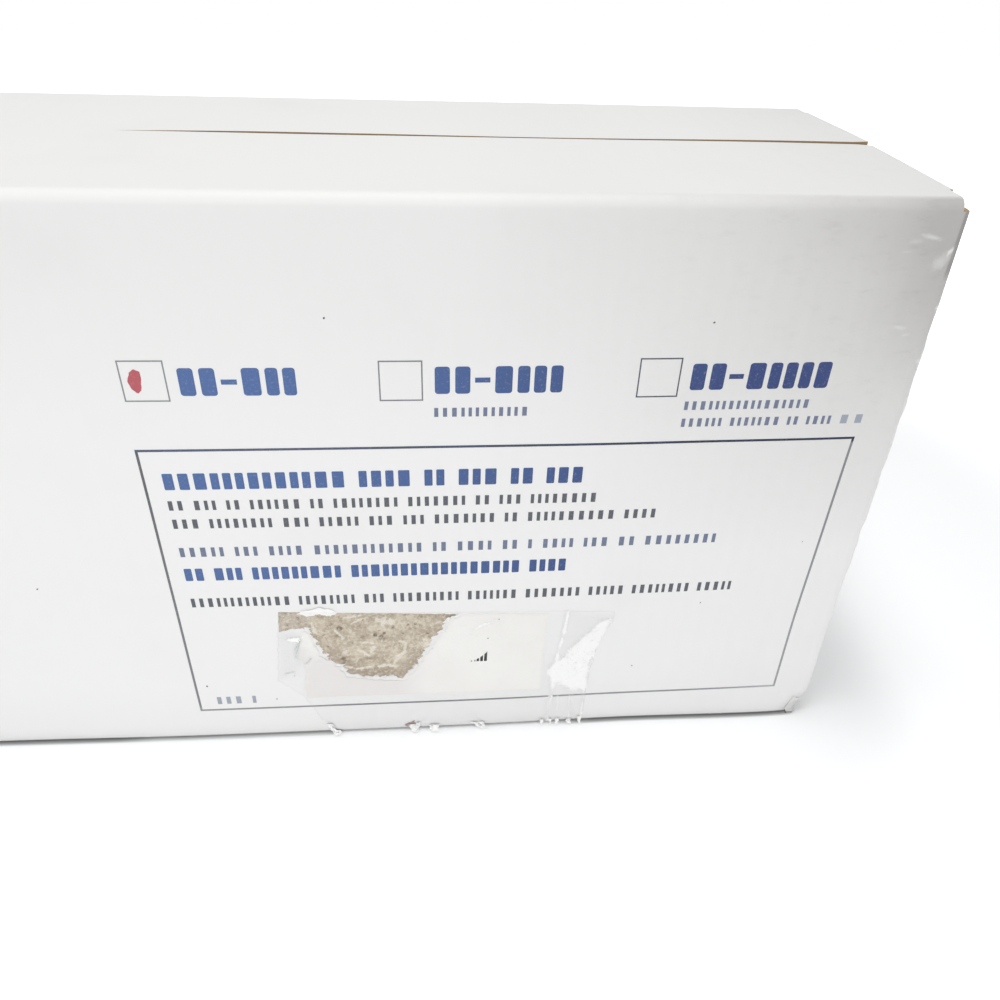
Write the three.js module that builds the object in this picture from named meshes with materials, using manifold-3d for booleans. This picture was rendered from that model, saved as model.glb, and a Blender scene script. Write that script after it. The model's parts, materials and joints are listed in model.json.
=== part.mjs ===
// Carton of racked pipette tips. A corrugated carton, folded from one sheet, holds two layers
// of lidded tip racks. Its two long top flaps swing open. The front panel carries what is left
// of an address label, a patch of clear tape over it, and the board torn bare beside it.
// Millimetres, +Z up. Origin at the centre of the underside; the front panel faces -Y.

import * as THREE from "three";
import { mergeVertices } from "three/addons/utils/BufferGeometryUtils.js";
import Module from "manifold-3d";

const wasm = await Module();
wasm.setup();

// ---- driving dimensions ----

// Rack of tips: the hole grid sets its size
const tipPitch = 9; // laboratory standard
const holeColumns = 8; // along X
const holeRows = 12; // along Y
const holeWidth = 5.6; // seat of one tip
const marginX = 10; // outermost hole centre to the rack's side
const marginY = 11.3;
const rackHeight = 96; // with its lid on
const rackCorner = 7; // radius of the upright corners

const baseHeight = 72; // tub that the tips hang in
const baseWall = 1.6;
const lipHeight = 3; // tub wall that stands above the ledge, inside the lid
const flangeThickness = 3; // ledge that the lid stands on

const deckThickness = 2; // plate that holds the tips
const skirtDepth = 4; // collar that locates the deck in the tub
const skirtWall = 1.2;

const lidWall = 1.2;
const lidTop = 1.4;
const lidEdge = 3; // rounding of the lid's upper edge

const fitGap = 0.4; // sliding clearance between rack pieces
const restGap = 0.3; // air left under a piece that only rests

// Packing
const racksAcross = 4;
const rackLayers = 2;
const rackSpacing = 0.6;
const endClearance = 1.2; // racks to the front and back panels
const headroom = 1.1; // racks to the tucked upper flaps

// Corrugated board
const boardThickness = 3;
const foldRadius = 2.6; // outside of a fold, a little less than the board
const flapSeam = 1; // where two flaps meet
const flapRelief = 1; // each side of a tucked flap
const gluedLapWidth = 30; // maker's joint down one inside corner
const gluedLapThickness = 1.2;
const lapClearance = 0.4;
const foldSteps = 3; // facets round a fold or a corner

// Label and tape on the front panel: X from the panel's centre, Z from the underside
const paperThickness = 0.2;
const filmThickness = 0.2;
const stickGap = 0.1;
const tearDepth = 0.5; // outer liner and part of the flutes pulled away
const tearOutline = [
  [-33, 63.4], [31, 60.8], [25, 55], [21, 48], [15, 37], [8.5, 28], [-3, 30],
  [-13, 34], [-20, 44], [-22, 54], [-26, 56.5], [-33, 54],
];
const labelOutline = [
  [31.8, 60.6], [62, 59.4], [62.6, 20], [-18, 20], [-24, 25], [-27, 33], [-28, 47],
  [-25.6, 55.8], [-22.6, 53.4], [-20.7, 43.6], [-13.4, 33.2], [-3, 29.2], [8.8, 27],
  [15.8, 36.6], [21.8, 47.7], [25.7, 54.7],
];
const tapeOutline = [
  [-33.4, 64.2], [86.5, 59], [86.7, 55], [82.5, 45], [80.2, 29], [79.6, boardThickness],
  [-21, boardThickness], [-28.6, 21.3], [-37.2, 30.4], [-34.6, 54],
];

// ---- sizes that follow ----

const rackWidth = (holeColumns - 1) * tipPitch + 2 * marginX;
const rackLength = (holeRows - 1) * tipPitch + 2 * marginY;
const bodyWidth = rackWidth - 2 * (lidWall + fitGap);
const bodyLength = rackLength - 2 * (lidWall + fitGap);
const bodyCorner = rackCorner - lidWall - fitGap;
const flangeTop = baseHeight - lipHeight;
const deckUnderside = baseHeight + restGap;

const sideClearance = gluedLapThickness + lapClearance;
const cartonLength =
  racksAcross * rackWidth + (racksAcross - 1) * rackSpacing + 2 * (sideClearance + boardThickness);
const cartonDepth = rackLength + 2 * (endClearance + boardThickness);
const endRackFloor = 2 * boardThickness + restGap; // on the tucked lower flaps
const midRackFloor = boardThickness + restGap; // straight on the long lower flaps
const layerRise = rackHeight + restGap;
const upperTuckUnderside = endRackFloor + rackLayers * layerRise - restGap + headroom;
const wallTop = upperTuckUnderside + boardThickness;
const cartonHeight = wallTop + restGap + boardThickness;
const flapLength = cartonDepth / 2;
const halfLength = cartonLength / 2;
const halfDepth = cartonDepth / 2;

// ---- shape helpers ----

function solidFrom(geometry) {
  const bare = new THREE.BufferGeometry();
  const source = geometry.index ? geometry.toNonIndexed() : geometry;
  bare.setAttribute("position", source.getAttribute("position"));
  const merged = mergeVertices(bare, 1e-4);
  return new wasm.Manifold(
    new wasm.Mesh({
      numProp: 3,
      vertProperties: merged.attributes.position.array,
      triVerts: new Uint32Array(merged.index.array),
    }),
  );
}

function geometryFrom(solid) {
  const { vertProperties, triVerts } = solid.getMesh();
  const geometry = new THREE.BufferGeometry();
  geometry.setAttribute("position", new THREE.BufferAttribute(vertProperties, 3));
  geometry.setIndex(new THREE.BufferAttribute(triVerts, 1));
  const faceted = geometry.toNonIndexed();
  faceted.computeVertexNormals();
  return faceted;
}

function polygon(points) {
  return new THREE.Shape(points.map(([x, y]) => new THREE.Vector2(x, y)));
}

function roundedRectangle(width, length, radius) {
  const shape = new THREE.Shape();
  const x = width / 2 - radius;
  const y = length / 2 - radius;
  shape.absarc(x, -y, radius, -Math.PI / 2, 0);
  shape.absarc(x, y, radius, 0, Math.PI / 2);
  shape.absarc(-x, y, radius, Math.PI / 2, Math.PI);
  shape.absarc(-x, -y, radius, Math.PI, 1.5 * Math.PI);
  shape.closePath();
  return shape;
}

function extruded(shape, depth) {
  return new THREE.ExtrudeGeometry(shape, { depth, bevelEnabled: false, curveSegments: foldSteps });
}

// Upright prism from bottom to top
function upright(shape, bottom, top) {
  return solidFrom(extruded(shape, top - bottom).translate(0, 0, bottom));
}

// Profile drawn in (Y, Z), run along X about the middle
function alongX(profile, length) {
  const turn = new THREE.Matrix4().set(0, 0, 1, -length / 2, 1, 0, 0, 0, 0, 1, 0, 0, 0, 0, 0, 1);
  return solidFrom(extruded(profile, length).applyMatrix4(turn));
}

// Profile drawn in (X, Z), run along Y about the middle
function alongY(profile, length) {
  const turn = new THREE.Matrix4().set(1, 0, 0, 0, 0, 0, -1, length / 2, 0, 1, 0, 0, 0, 0, 0, 1);
  return solidFrom(extruded(profile, length).applyMatrix4(turn));
}

function block(lowX, highX, lowY, highY, lowZ, highZ) {
  const box = new THREE.BoxGeometry(highX - lowX, highY - lowY, highZ - lowZ);
  return solidFrom(box.translate((lowX + highX) / 2, (lowY + highY) / 2, (lowZ + highZ) / 2));
}

function turnedAboutZ(solid) {
  return solid.rotate([0, 0, 180]);
}

// Sheet standing on the front panel, with its back face proud of the panel by standOff
function onFrontPanel(outline, standOff, thickness) {
  const turn = new THREE.Matrix4().set(
    1, 0, 0, 0, 0, 0, -1, -halfDepth - standOff, 0, 1, 0, 0, 0, 0, 0, 1,
  );
  return solidFrom(extruded(polygon(outline), thickness).applyMatrix4(turn));
}

// ---- materials ----

const material = {
  board: new THREE.MeshStandardMaterial({ color: 0xedeeee, roughness: 0.62, metalness: 0 }),
  paper: new THREE.MeshStandardMaterial({ color: 0xf1efe9, roughness: 0.8, metalness: 0 }),
  tape: new THREE.MeshStandardMaterial({
    color: 0xf4f4f1, roughness: 0.12, metalness: 0, transparent: true, opacity: 0.3,
  }),
  rackBase: new THREE.MeshStandardMaterial({ color: 0xdfe4e6, roughness: 0.45, metalness: 0 }),
  rackDeck: new THREE.MeshStandardMaterial({ color: 0x3f5f9c, roughness: 0.4, metalness: 0 }),
  rackLid: new THREE.MeshStandardMaterial({
    color: 0xe9eef0, roughness: 0.3, metalness: 0, transparent: true, opacity: 0.45,
  }),
};

const part = new THREE.Group();

function place(name, solid, look, parent = part) {
  const mesh = new THREE.Mesh(geometryFrom(solid), look);
  mesh.name = name;
  parent.add(mesh);
  return mesh;
}

// ---- carton: walls, lower flaps and tucked upper flaps, one folded sheet ----

// Long panel with the lower flap folded under it; the fold is rounded outside
function frontPanelProfile() {
  const t = boardThickness;
  const r = foldRadius;
  const profile = new THREE.Shape();
  profile.moveTo(-halfDepth, wallTop);
  profile.absarc(-halfDepth + r, r, r, Math.PI, 1.5 * Math.PI);
  profile.lineTo(-flapSeam / 2, 0);
  profile.lineTo(-flapSeam / 2, t);
  profile.lineTo(-halfDepth + t, t);
  profile.lineTo(-halfDepth + t, wallTop);
  profile.closePath();
  return profile;
}

// Short panel, rounded outside at its foot and head; with flaps, one is tucked in at each
function endPanelProfile(withFlaps) {
  const t = boardThickness;
  const r = foldRadius;
  const outside = -halfLength;
  const inside = outside + t;
  const flapEdge = outside + flapLength;
  const profile = new THREE.Shape();
  profile.absarc(outside + r, t + r, r, Math.PI, 1.5 * Math.PI);
  if (withFlaps) {
    profile.lineTo(flapEdge, t);
    profile.lineTo(flapEdge, 2 * t);
    profile.lineTo(inside, 2 * t);
    profile.lineTo(inside, wallTop - t);
    profile.lineTo(flapEdge, wallTop - t);
    profile.lineTo(flapEdge, wallTop);
  } else {
    profile.lineTo(inside, t);
    profile.lineTo(inside, wallTop);
  }
  profile.absarc(outside + r, wallTop - r, r, Math.PI / 2, Math.PI);
  profile.closePath();
  return profile;
}

function gluedLap() {
  const insideEnd = -halfLength + boardThickness;
  const insideBack = halfDepth - boardThickness;
  return block(
    insideEnd - boardThickness / 2,
    insideEnd + gluedLapThickness,
    insideBack - gluedLapWidth,
    insideBack + boardThickness / 2,
    2 * boardThickness + flapRelief,
    upperTuckUnderside - flapRelief,
  );
}

function makeCarton() {
  const front = alongX(frontPanelProfile(), cartonLength);
  const tuckWidth = cartonDepth - 2 * (boardThickness + flapRelief);
  const leftPanel = alongY(endPanelProfile(false), cartonDepth);
  const leftEnd = alongY(endPanelProfile(true), tuckWidth).add(leftPanel);
  const cornered = upright(roundedRectangle(cartonLength, cartonDepth, foldRadius), 0, cartonHeight);
  const tear = onFrontPanel(tearOutline, -tearDepth, 2 * tearDepth);
  return front
    .add(turnedAboutZ(front))
    .add(leftEnd)
    .add(turnedAboutZ(leftEnd))
    .intersect(cornered)
    .add(gluedLap())
    .subtract(tear);
}

place("carton", makeCarton(), material.board);

// ---- long upper flaps, each hinged along its panel's top edge ----

function frontFlapProfile() {
  const r = foldRadius;
  const underside = cartonHeight - boardThickness;
  const profile = new THREE.Shape();
  profile.moveTo(-halfDepth, underside);
  profile.lineTo(-flapSeam / 2, underside);
  profile.lineTo(-flapSeam / 2, cartonHeight);
  profile.absarc(-halfDepth + r, cartonHeight - r, r, Math.PI / 2, Math.PI);
  profile.closePath();
  return profile;
}

const frontFlap = alongX(frontFlapProfile(), cartonLength);
place("top_flap_front", frontFlap, material.board);
place("top_flap_back", turnedAboutZ(frontFlap), material.board);

// ---- label remnant and tape ----

const labelSheet = onFrontPanel(labelOutline, stickGap, paperThickness);
place("label_remnant", labelSheet, material.paper);

const tapeStandOff = 2 * stickGap + paperThickness;
place("clear_tape", onFrontPanel(tapeOutline, tapeStandOff, filmThickness), material.tape);

// ---- tip racks ----

function makeRackBase() {
  const tub = upright(roundedRectangle(bodyWidth, bodyLength, bodyCorner), 0, baseHeight);
  const flange = upright(
    roundedRectangle(rackWidth, rackLength, rackCorner), flangeTop - flangeThickness, flangeTop,
  );
  const hollow = upright(
    roundedRectangle(bodyWidth - 2 * baseWall, bodyLength - 2 * baseWall, bodyCorner - baseWall),
    baseWall,
    baseHeight + 1,
  );
  return tub.add(flange).subtract(hollow);
}

function tipSeat(column, row) {
  const x = (column - (holeColumns - 1) / 2) * tipPitch;
  const y = (row - (holeRows - 1) / 2) * tipPitch;
  const half = holeWidth / 2;
  const above = deckUnderside + deckThickness + 1;
  return block(x - half, x + half, y - half, y + half, deckUnderside - 1, above);
}

function makeTipDeck() {
  const plate = roundedRectangle(bodyWidth, bodyLength, bodyCorner);
  const skirtInset = 2 * (baseWall + fitGap);
  const skirtRadius = bodyCorner - baseWall - fitGap;
  const skirt = roundedRectangle(bodyWidth - skirtInset, bodyLength - skirtInset, skirtRadius);
  skirt.holes.push(
    roundedRectangle(
      bodyWidth - skirtInset - 2 * skirtWall,
      bodyLength - skirtInset - 2 * skirtWall,
      skirtRadius - skirtWall,
    ),
  );
  let deck = upright(plate, deckUnderside, deckUnderside + deckThickness).add(
    upright(skirt, deckUnderside - skirtDepth, deckUnderside + deckThickness / 2),
  );
  for (let column = 0; column < holeColumns; column++) {
    for (let row = 0; row < holeRows; row++) deck = deck.subtract(tipSeat(column, row));
  }
  return deck;
}

function makeRackLid() {
  const bottom = flangeTop + restGap;
  const outline = roundedRectangle(
    rackWidth - 2 * lidEdge, rackLength - 2 * lidEdge, rackCorner - lidEdge,
  );
  const rounded = new THREE.ExtrudeGeometry(outline, {
    depth: rackHeight - lidEdge,
    bevelEnabled: true,
    bevelThickness: lidEdge,
    bevelSize: lidEdge,
    bevelSegments: 2,
    curveSegments: foldSteps,
  });
  const trim = block(-rackWidth, rackWidth, -rackLength, rackLength, -rackHeight, bottom);
  const hollow = upright(
    roundedRectangle(rackWidth - 2 * lidWall, rackLength - 2 * lidWall, rackCorner - lidWall),
    bottom - 1,
    rackHeight - lidTop,
  );
  return solidFrom(rounded).subtract(trim).subtract(hollow);
}

const rackPieces = [
  ["rack_base", makeRackBase(), material.rackBase],
  ["tip_deck", makeTipDeck(), material.rackDeck],
  ["rack_lid", makeRackLid(), material.rackLid],
];

for (let layer = 0; layer < rackLayers; layer++) {
  for (let slot = 0; slot < racksAcross; slot++) {
    const atEnd = slot === 0 || slot === racksAcross - 1;
    const rack = new THREE.Group();
    rack.position.set(
      (slot - (racksAcross - 1) / 2) * (rackWidth + rackSpacing),
      0,
      (atEnd ? endRackFloor : midRackFloor) + layer * layerRise,
    );
    const number = layer * racksAcross + slot + 1;
    for (const [name, solid, look] of rackPieces) place(`${name}_${number}`, solid, look, rack);
    part.add(rack);
  }
}

export default part;
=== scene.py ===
import json
import math
import random

import bmesh
import bpy
from mathutils import Matrix, Vector, kdtree, noise

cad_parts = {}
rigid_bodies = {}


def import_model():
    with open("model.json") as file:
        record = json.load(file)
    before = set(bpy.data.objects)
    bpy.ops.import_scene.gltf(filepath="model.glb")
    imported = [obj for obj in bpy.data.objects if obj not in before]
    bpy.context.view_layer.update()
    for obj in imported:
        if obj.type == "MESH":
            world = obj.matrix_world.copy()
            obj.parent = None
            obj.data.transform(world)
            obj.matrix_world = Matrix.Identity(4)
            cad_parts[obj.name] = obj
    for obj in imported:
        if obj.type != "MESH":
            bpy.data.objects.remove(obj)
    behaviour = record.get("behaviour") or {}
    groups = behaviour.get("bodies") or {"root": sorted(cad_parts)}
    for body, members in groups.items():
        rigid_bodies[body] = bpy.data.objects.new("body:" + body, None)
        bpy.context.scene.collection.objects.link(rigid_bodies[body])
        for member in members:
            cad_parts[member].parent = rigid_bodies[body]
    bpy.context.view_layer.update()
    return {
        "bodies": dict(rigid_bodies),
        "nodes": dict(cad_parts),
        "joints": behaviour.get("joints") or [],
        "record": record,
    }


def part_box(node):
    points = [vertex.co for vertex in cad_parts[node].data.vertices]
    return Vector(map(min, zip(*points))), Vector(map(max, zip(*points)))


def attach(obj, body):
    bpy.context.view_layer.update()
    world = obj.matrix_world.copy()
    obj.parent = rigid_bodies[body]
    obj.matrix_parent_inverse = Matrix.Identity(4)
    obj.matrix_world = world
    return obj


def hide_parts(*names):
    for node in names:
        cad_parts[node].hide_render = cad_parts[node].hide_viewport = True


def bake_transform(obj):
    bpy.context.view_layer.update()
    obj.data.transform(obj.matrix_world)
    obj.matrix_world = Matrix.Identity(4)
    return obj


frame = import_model()
mm = 0.001  # pieces are modelled in millimetres and scaled once, when they are finished
sharpFrom = 35  # faces that meet at more than these degrees leave a sharp edge
print("frame loaded")


# shader maths written as sums

class Wire:
    # a socket in a material
    def __init__(self, paint, socket):
        self.paint = paint
        self.socket = socket

    def maths(self, operation, first, second):
        return self.paint.node("ShaderNodeMath", {"operation": operation}, {0: first, 1: second})

    def __add__(self, other):
        return self.maths("ADD", self, other)

    def __sub__(self, other):
        return self.maths("SUBTRACT", self, other)

    def __rsub__(self, other):
        return self.maths("SUBTRACT", other, self)

    def __mul__(self, other):
        return self.maths("MULTIPLY", self, other)

    def __truediv__(self, other):
        return self.maths("DIVIDE", self, other)

    def __abs__(self):
        return self.maths("ABSOLUTE", self, 0.0)

    __radd__ = __add__
    __rmul__ = __mul__


class Nodes:
    # a node tree; every node comes from one method
    def __init__(self, tree):
        self.tree = tree

    def node(self, kind, settings=None, inputs=None, output=0):
        made = self.tree.nodes.new(kind)
        for key, value in (settings or {}).items():
            setattr(made, key, value)
        for key, value in (inputs or {}).items():
            if isinstance(value, Wire):
                self.tree.links.new(value.socket, made.inputs[key])
            else:
                made.inputs[key].default_value = value
        return Wire(self, made.outputs[output])

    def vectors(self, operation, first, second=(0, 0, 0), output=0):
        return self.node("ShaderNodeVectorMath", {"operation": operation}, {0: first, 1: second}, output)

    def wave(self, value, length):
        # rises and falls once in each length
        return self.node("ShaderNodeMath", {"operation": "SINE"}, {0: value * (2 * math.pi / length)})

    def seenDirectly(self):
        # camera, mirror and glass rays
        path = [
            self.node("ShaderNodeLightPath", output=kind)
            for kind in ("Is Camera Ray", "Is Glossy Ray", "Is Transmission Ray")]
        return self.node(
            "ShaderNodeMath", {"operation": "MINIMUM"}, {0: path[0] + path[1] + path[2], 1: 1.0})


class Paint(Nodes):
    # a material on the Principled shader; constants go straight on its sockets
    def __init__(self, name, constants):
        self.material = bpy.data.materials.new(name)
        self.material.use_nodes = True
        super().__init__(self.material.node_tree)
        self.shader = self.tree.nodes["Principled BSDF"]
        for socket, value in constants.items():
            self.shader.inputs[socket].default_value = value
        self.place = self.node("ShaderNodeVectorMath", {"operation": "SCALE"}, {
            0: self.node("ShaderNodeTexCoord", output="Object"), "Scale": 1 / mm})
        self.x, self.y, self.z = (
            self.node("ShaderNodeSeparateXYZ", None, {0: self.place}, axis) for axis in range(3))

    def feed(self, socket, wire):
        self.tree.links.new(wire.socket, self.shader.inputs[socket])

    def grain(self, scale, detail=2.0, roughness=0.5, at=None, stretch=None):
        spot = at or self.place
        if stretch:
            spot = self.vectors("MULTIPLY", spot, stretch)
        return self.node("ShaderNodeTexNoise", None, {
            "Vector": spot, "Scale": scale, "Detail": detail, "Roughness": roughness})

    def step(self, value, low, high):
        return self.node("ShaderNodeMapRange", {"interpolation_type": "SMOOTHSTEP"}, {
            "Value": value, "From Min": low, "From Max": high})

    def rise(self, value, low, high):
        return self.node("ShaderNodeMapRange", None, {
            "Value": value, "From Min": low, "From Max": high})

    def blended(self, factor, first, second):
        return self.node(
            "ShaderNodeMix", {"data_type": "RGBA"}, {0: factor, 6: first, 7: second}, 2)

    def attribute(self, name):
        return self.node("ShaderNodeAttribute", {"attribute_name": name}, None, "Fac")

    def over(self, base, factor, colour):
        # lays a screen colour over what is there
        return self.blended(factor, base, screen(*colour))

    def moved(self, x, y, z):
        # the piece's own place, shifted so that two grains don't fall together
        return self.node("ShaderNodeMapping", None, {"Vector": self.place, "Location": (x, y, z)})

    def relief(self, height, depth):
        # height runs 0 to 1 over a real depth in millimetres
        self.feed("Normal", self.node("ShaderNodeBump", None, {
            "Strength": 1.0, "Distance": depth * mm, "Height": height}))


def screen(red, green, blue):
    # a colour as a screen writes it, 0 to 255, made linear
    shares = [channel / 255 for channel in (red, green, blue)]
    return tuple(
        s / 12.92 if s <= 0.04045 else ((s + 0.055) / 1.055) ** 2.4 for s in shares) + (1.0,)


# sizes taken from the frame

def boxOf(node):
    low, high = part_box(node)
    return low / mm, high / mm


cartonLow, cartonHigh = boxOf("carton")
flapLow, flapHigh = boxOf("top_flap_front")
halfLength = cartonHigh.x
halfDepth = cartonHigh.y
wallTop = cartonHigh.z
topZ = flapHigh.z
boardThick = flapHigh.z - flapLow.z


def smooth(share):
    share = min(1.0, max(0.0, share))
    return share * share * (3 - 2 * share)


def unevenness(x, z, scaleX, seed, scaleZ):
    # smooth noise over the front panel, from -1 to 1
    return noise.noise(Vector((x * scaleX, seed, z * scaleZ)))


def sized(x, y, z, middle=(0, 0, 0)):
    # the matrix that gives a unit shape its size and its place
    return Matrix.Translation(middle) @ Matrix.Diagonal((x, y, z, 1))


def vertsOf(geometry):
    return [g for g in geometry if isinstance(g, bmesh.types.BMVert)]


def edgesOf(geometry, ends):
    # the edges that run between two of these points
    return [g for g in geometry if isinstance(g, bmesh.types.BMEdge) and set(g.verts) <= set(ends)]


def everything(bm):
    return bm.verts[:] + bm.edges[:] + bm.faces[:]


# where the worn carton has its panels

panel = {
    "wallReach": 9,  # a wall's wear dies away this far inside it,
    "wallFade": 6,  # over this distance
    "bow": 2.4,  # swell of the front panel in the middle of its length
    "bowLeft": 0.35,  # share of it that is left at the top crease
    "bowFade": 150,  # height from which the swell dies away
    "backBow": 1.2,
    "endBow": 0.9,
    "leanHead": -0.5,  # right front edge: offset at the head, at the foot and between
    "leanFoot": -0.1,
    "leanMiddle": 1.1,
    "leanFrom": 130,  # distance from the middle at which the lean begins
    "ragged": 0.7,  # waviness of the worn right edge
    "raggedWave": 0.16,
    "raggedBelow": 183,
    "raggedFade": 12,
    "raggedReach": 7,
    "raggedBuild": 5,
    "crush": 14,  # reach of the crushed foot corner
    "crushIn": 4.2,
    "footBulge": 1.9,  # how far the foot of the front stands out towards its right end
    "bulgeFrom": 90,  # x at which that begins,
    "bulgeFull": 70,  # how much further on it is full,
    "bulgeTop": 60,  # and the height to which it reaches
    "wave": 0.24,  # slow unevenness of the sheet
    "waveX": 0.02,
    "waveZ": 0.025,
}


def frontSwell(x, z):
    across = 1 - (x / halfLength) ** 2
    fade = 1 - (1 - panel["bowLeft"]) * smooth((z - panel["bowFade"]) / (topZ - panel["bowFade"]))
    uneven = unevenness(x, z, panel["waveX"], 3.1, panel["waveZ"]) * panel["wave"]
    return panel["bow"] * across * fade + uneven * smooth(across * 3)


def settled(co):
    # moves a point of the true, straight carton to where wear has left it
    x, y, z = co
    front, back, end = (
        smooth((out + panel["wallReach"]) / panel["wallFade"])
        for out in (-y - halfDepth, y - halfDepth, abs(x) - halfLength))
    y += -front * frontSwell(x, z) + back * panel["backBow"] * (1 - (x / halfLength) ** 2)
    side = 1 if x > 0 else -1
    moved = end * panel["endBow"] * (1 - (co[1] / halfDepth) ** 2)
    if side > 0:
        lean = panel["leanFoot"] + (panel["leanHead"] - panel["leanFoot"]) * z / topZ
        lean += panel["leanMiddle"] * math.sin(math.pi * z / topZ)
        reach = smooth((x - panel["leanFrom"]) / (halfLength - panel["leanFrom"]))
        moved += lean * reach * smooth((halfDepth - y) / halfDepth)
        below = smooth((panel["raggedBelow"] - z) / panel["raggedFade"])
        nearEdge = smooth((x - halfLength + panel["raggedReach"]) / panel["raggedBuild"]) * front
        moved += panel["ragged"] * below * nearEdge * unevenness(0, z, 0, 0, panel["raggedWave"])
        corner = Vector((halfLength, -halfDepth, 0))
        crush = smooth(1 - (Vector(co) - corner).length / panel["crush"])
        moved -= panel["crushIn"] * crush
        across = smooth((x - panel["bulgeFrom"]) / panel["bulgeFull"])
        y -= front * panel["footBulge"] * across * smooth((panel["bulgeTop"] - z) / panel["bulgeTop"])
    x += side * moved
    return Vector((x, y, z))


def frontFace(x, z):
    return settled((x, -halfDepth, z)).y


def drape(bm, standOff=0.0):
    # a piece modelled on the plane y = 0, with -y outwards, is laid on the front panel
    for v in bm.verts:
        v.co.y += frontFace(v.co.x, v.co.z) - standOff


def settle(bm, shift=(0, 0, 0)):
    for v in bm.verts:
        v.co = settled(v.co - Vector(shift))


def finished(name, bm, paints, body="carton", replaces=()):
    # turns a bmesh in millimetres into a piece that rides on a body
    bmesh.ops.scale(bm, vec=(mm,) * 3, verts=bm.verts)
    mesh = bpy.data.meshes.new(name)
    bm.to_mesh(mesh)
    bm.free()
    for paint in paints:
        mesh.materials.append(paint.material)
    piece = bpy.data.objects.new(name, mesh)
    bpy.context.scene.collection.objects.link(piece)
    shade(mesh)
    if replaces:
        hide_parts(*replaces)
    if body:
        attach(piece, body)
    return piece


def shade(mesh):
    mesh.shade_smooth()
    mesh.set_sharp_from_angle(angle=math.radians(sharpFrom))


def applied(piece):
    # bakes a piece's modifiers into its mesh
    bpy.context.view_layer.update()
    seen = piece.evaluated_get(bpy.context.evaluated_depsgraph_get())
    mesh = bpy.data.meshes.new_from_object(seen)
    mesh.name = piece.name
    piece.modifiers.clear()
    piece.data = mesh
    shade(mesh)
    return piece


def thicken(piece, thickness, inner=0, rim=0, offset=-1):
    solid = piece.modifiers.new("thickness", "SOLIDIFY")
    solid.thickness = thickness * mm
    solid.offset = offset
    solid.material_offset = inner
    solid.material_offset_rim = rim
    return applied(piece)


def cutAcross(bm, axis, low, high, every):
    # cuts the mesh by parallel planes, so that it can bend
    normal = Vector((0, 0, 0))
    normal[axis] = 1
    count = max(1, round((high - low) / every))
    for i in range(1, count):
        point = normal * (low + (high - low) * i / count)
        bmesh.ops.bisect_plane(bm, geom=everything(bm), plane_co=point, plane_no=normal, dist=1e-5)


def drawOut(bm, edges, moves, narrow=(1, 1, 1)):
    # extrudes an open edge chain along a list of moves, and narrows it at the first
    for index, move in enumerate(moves):
        made = bmesh.ops.extrude_edge_only(bm, edges=edges)["geom"]
        fresh = vertsOf(made)
        bmesh.ops.translate(bm, verts=fresh, vec=move)
        if not index:
            bmesh.ops.scale(bm, verts=fresh, vec=narrow)
        edges = edgesOf(made, fresh)
    return edges


def bend(radius, start, turn, steps):
    # moves along an arc: start and turn are angles, in the plane of (across, up)
    points = [
        Vector((math.cos(start + turn * i / steps), math.sin(start + turn * i / steps))) * radius
        for i in range(steps + 1)]
    return [b - a for a, b in zip(points, points[1:])]


# board

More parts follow.
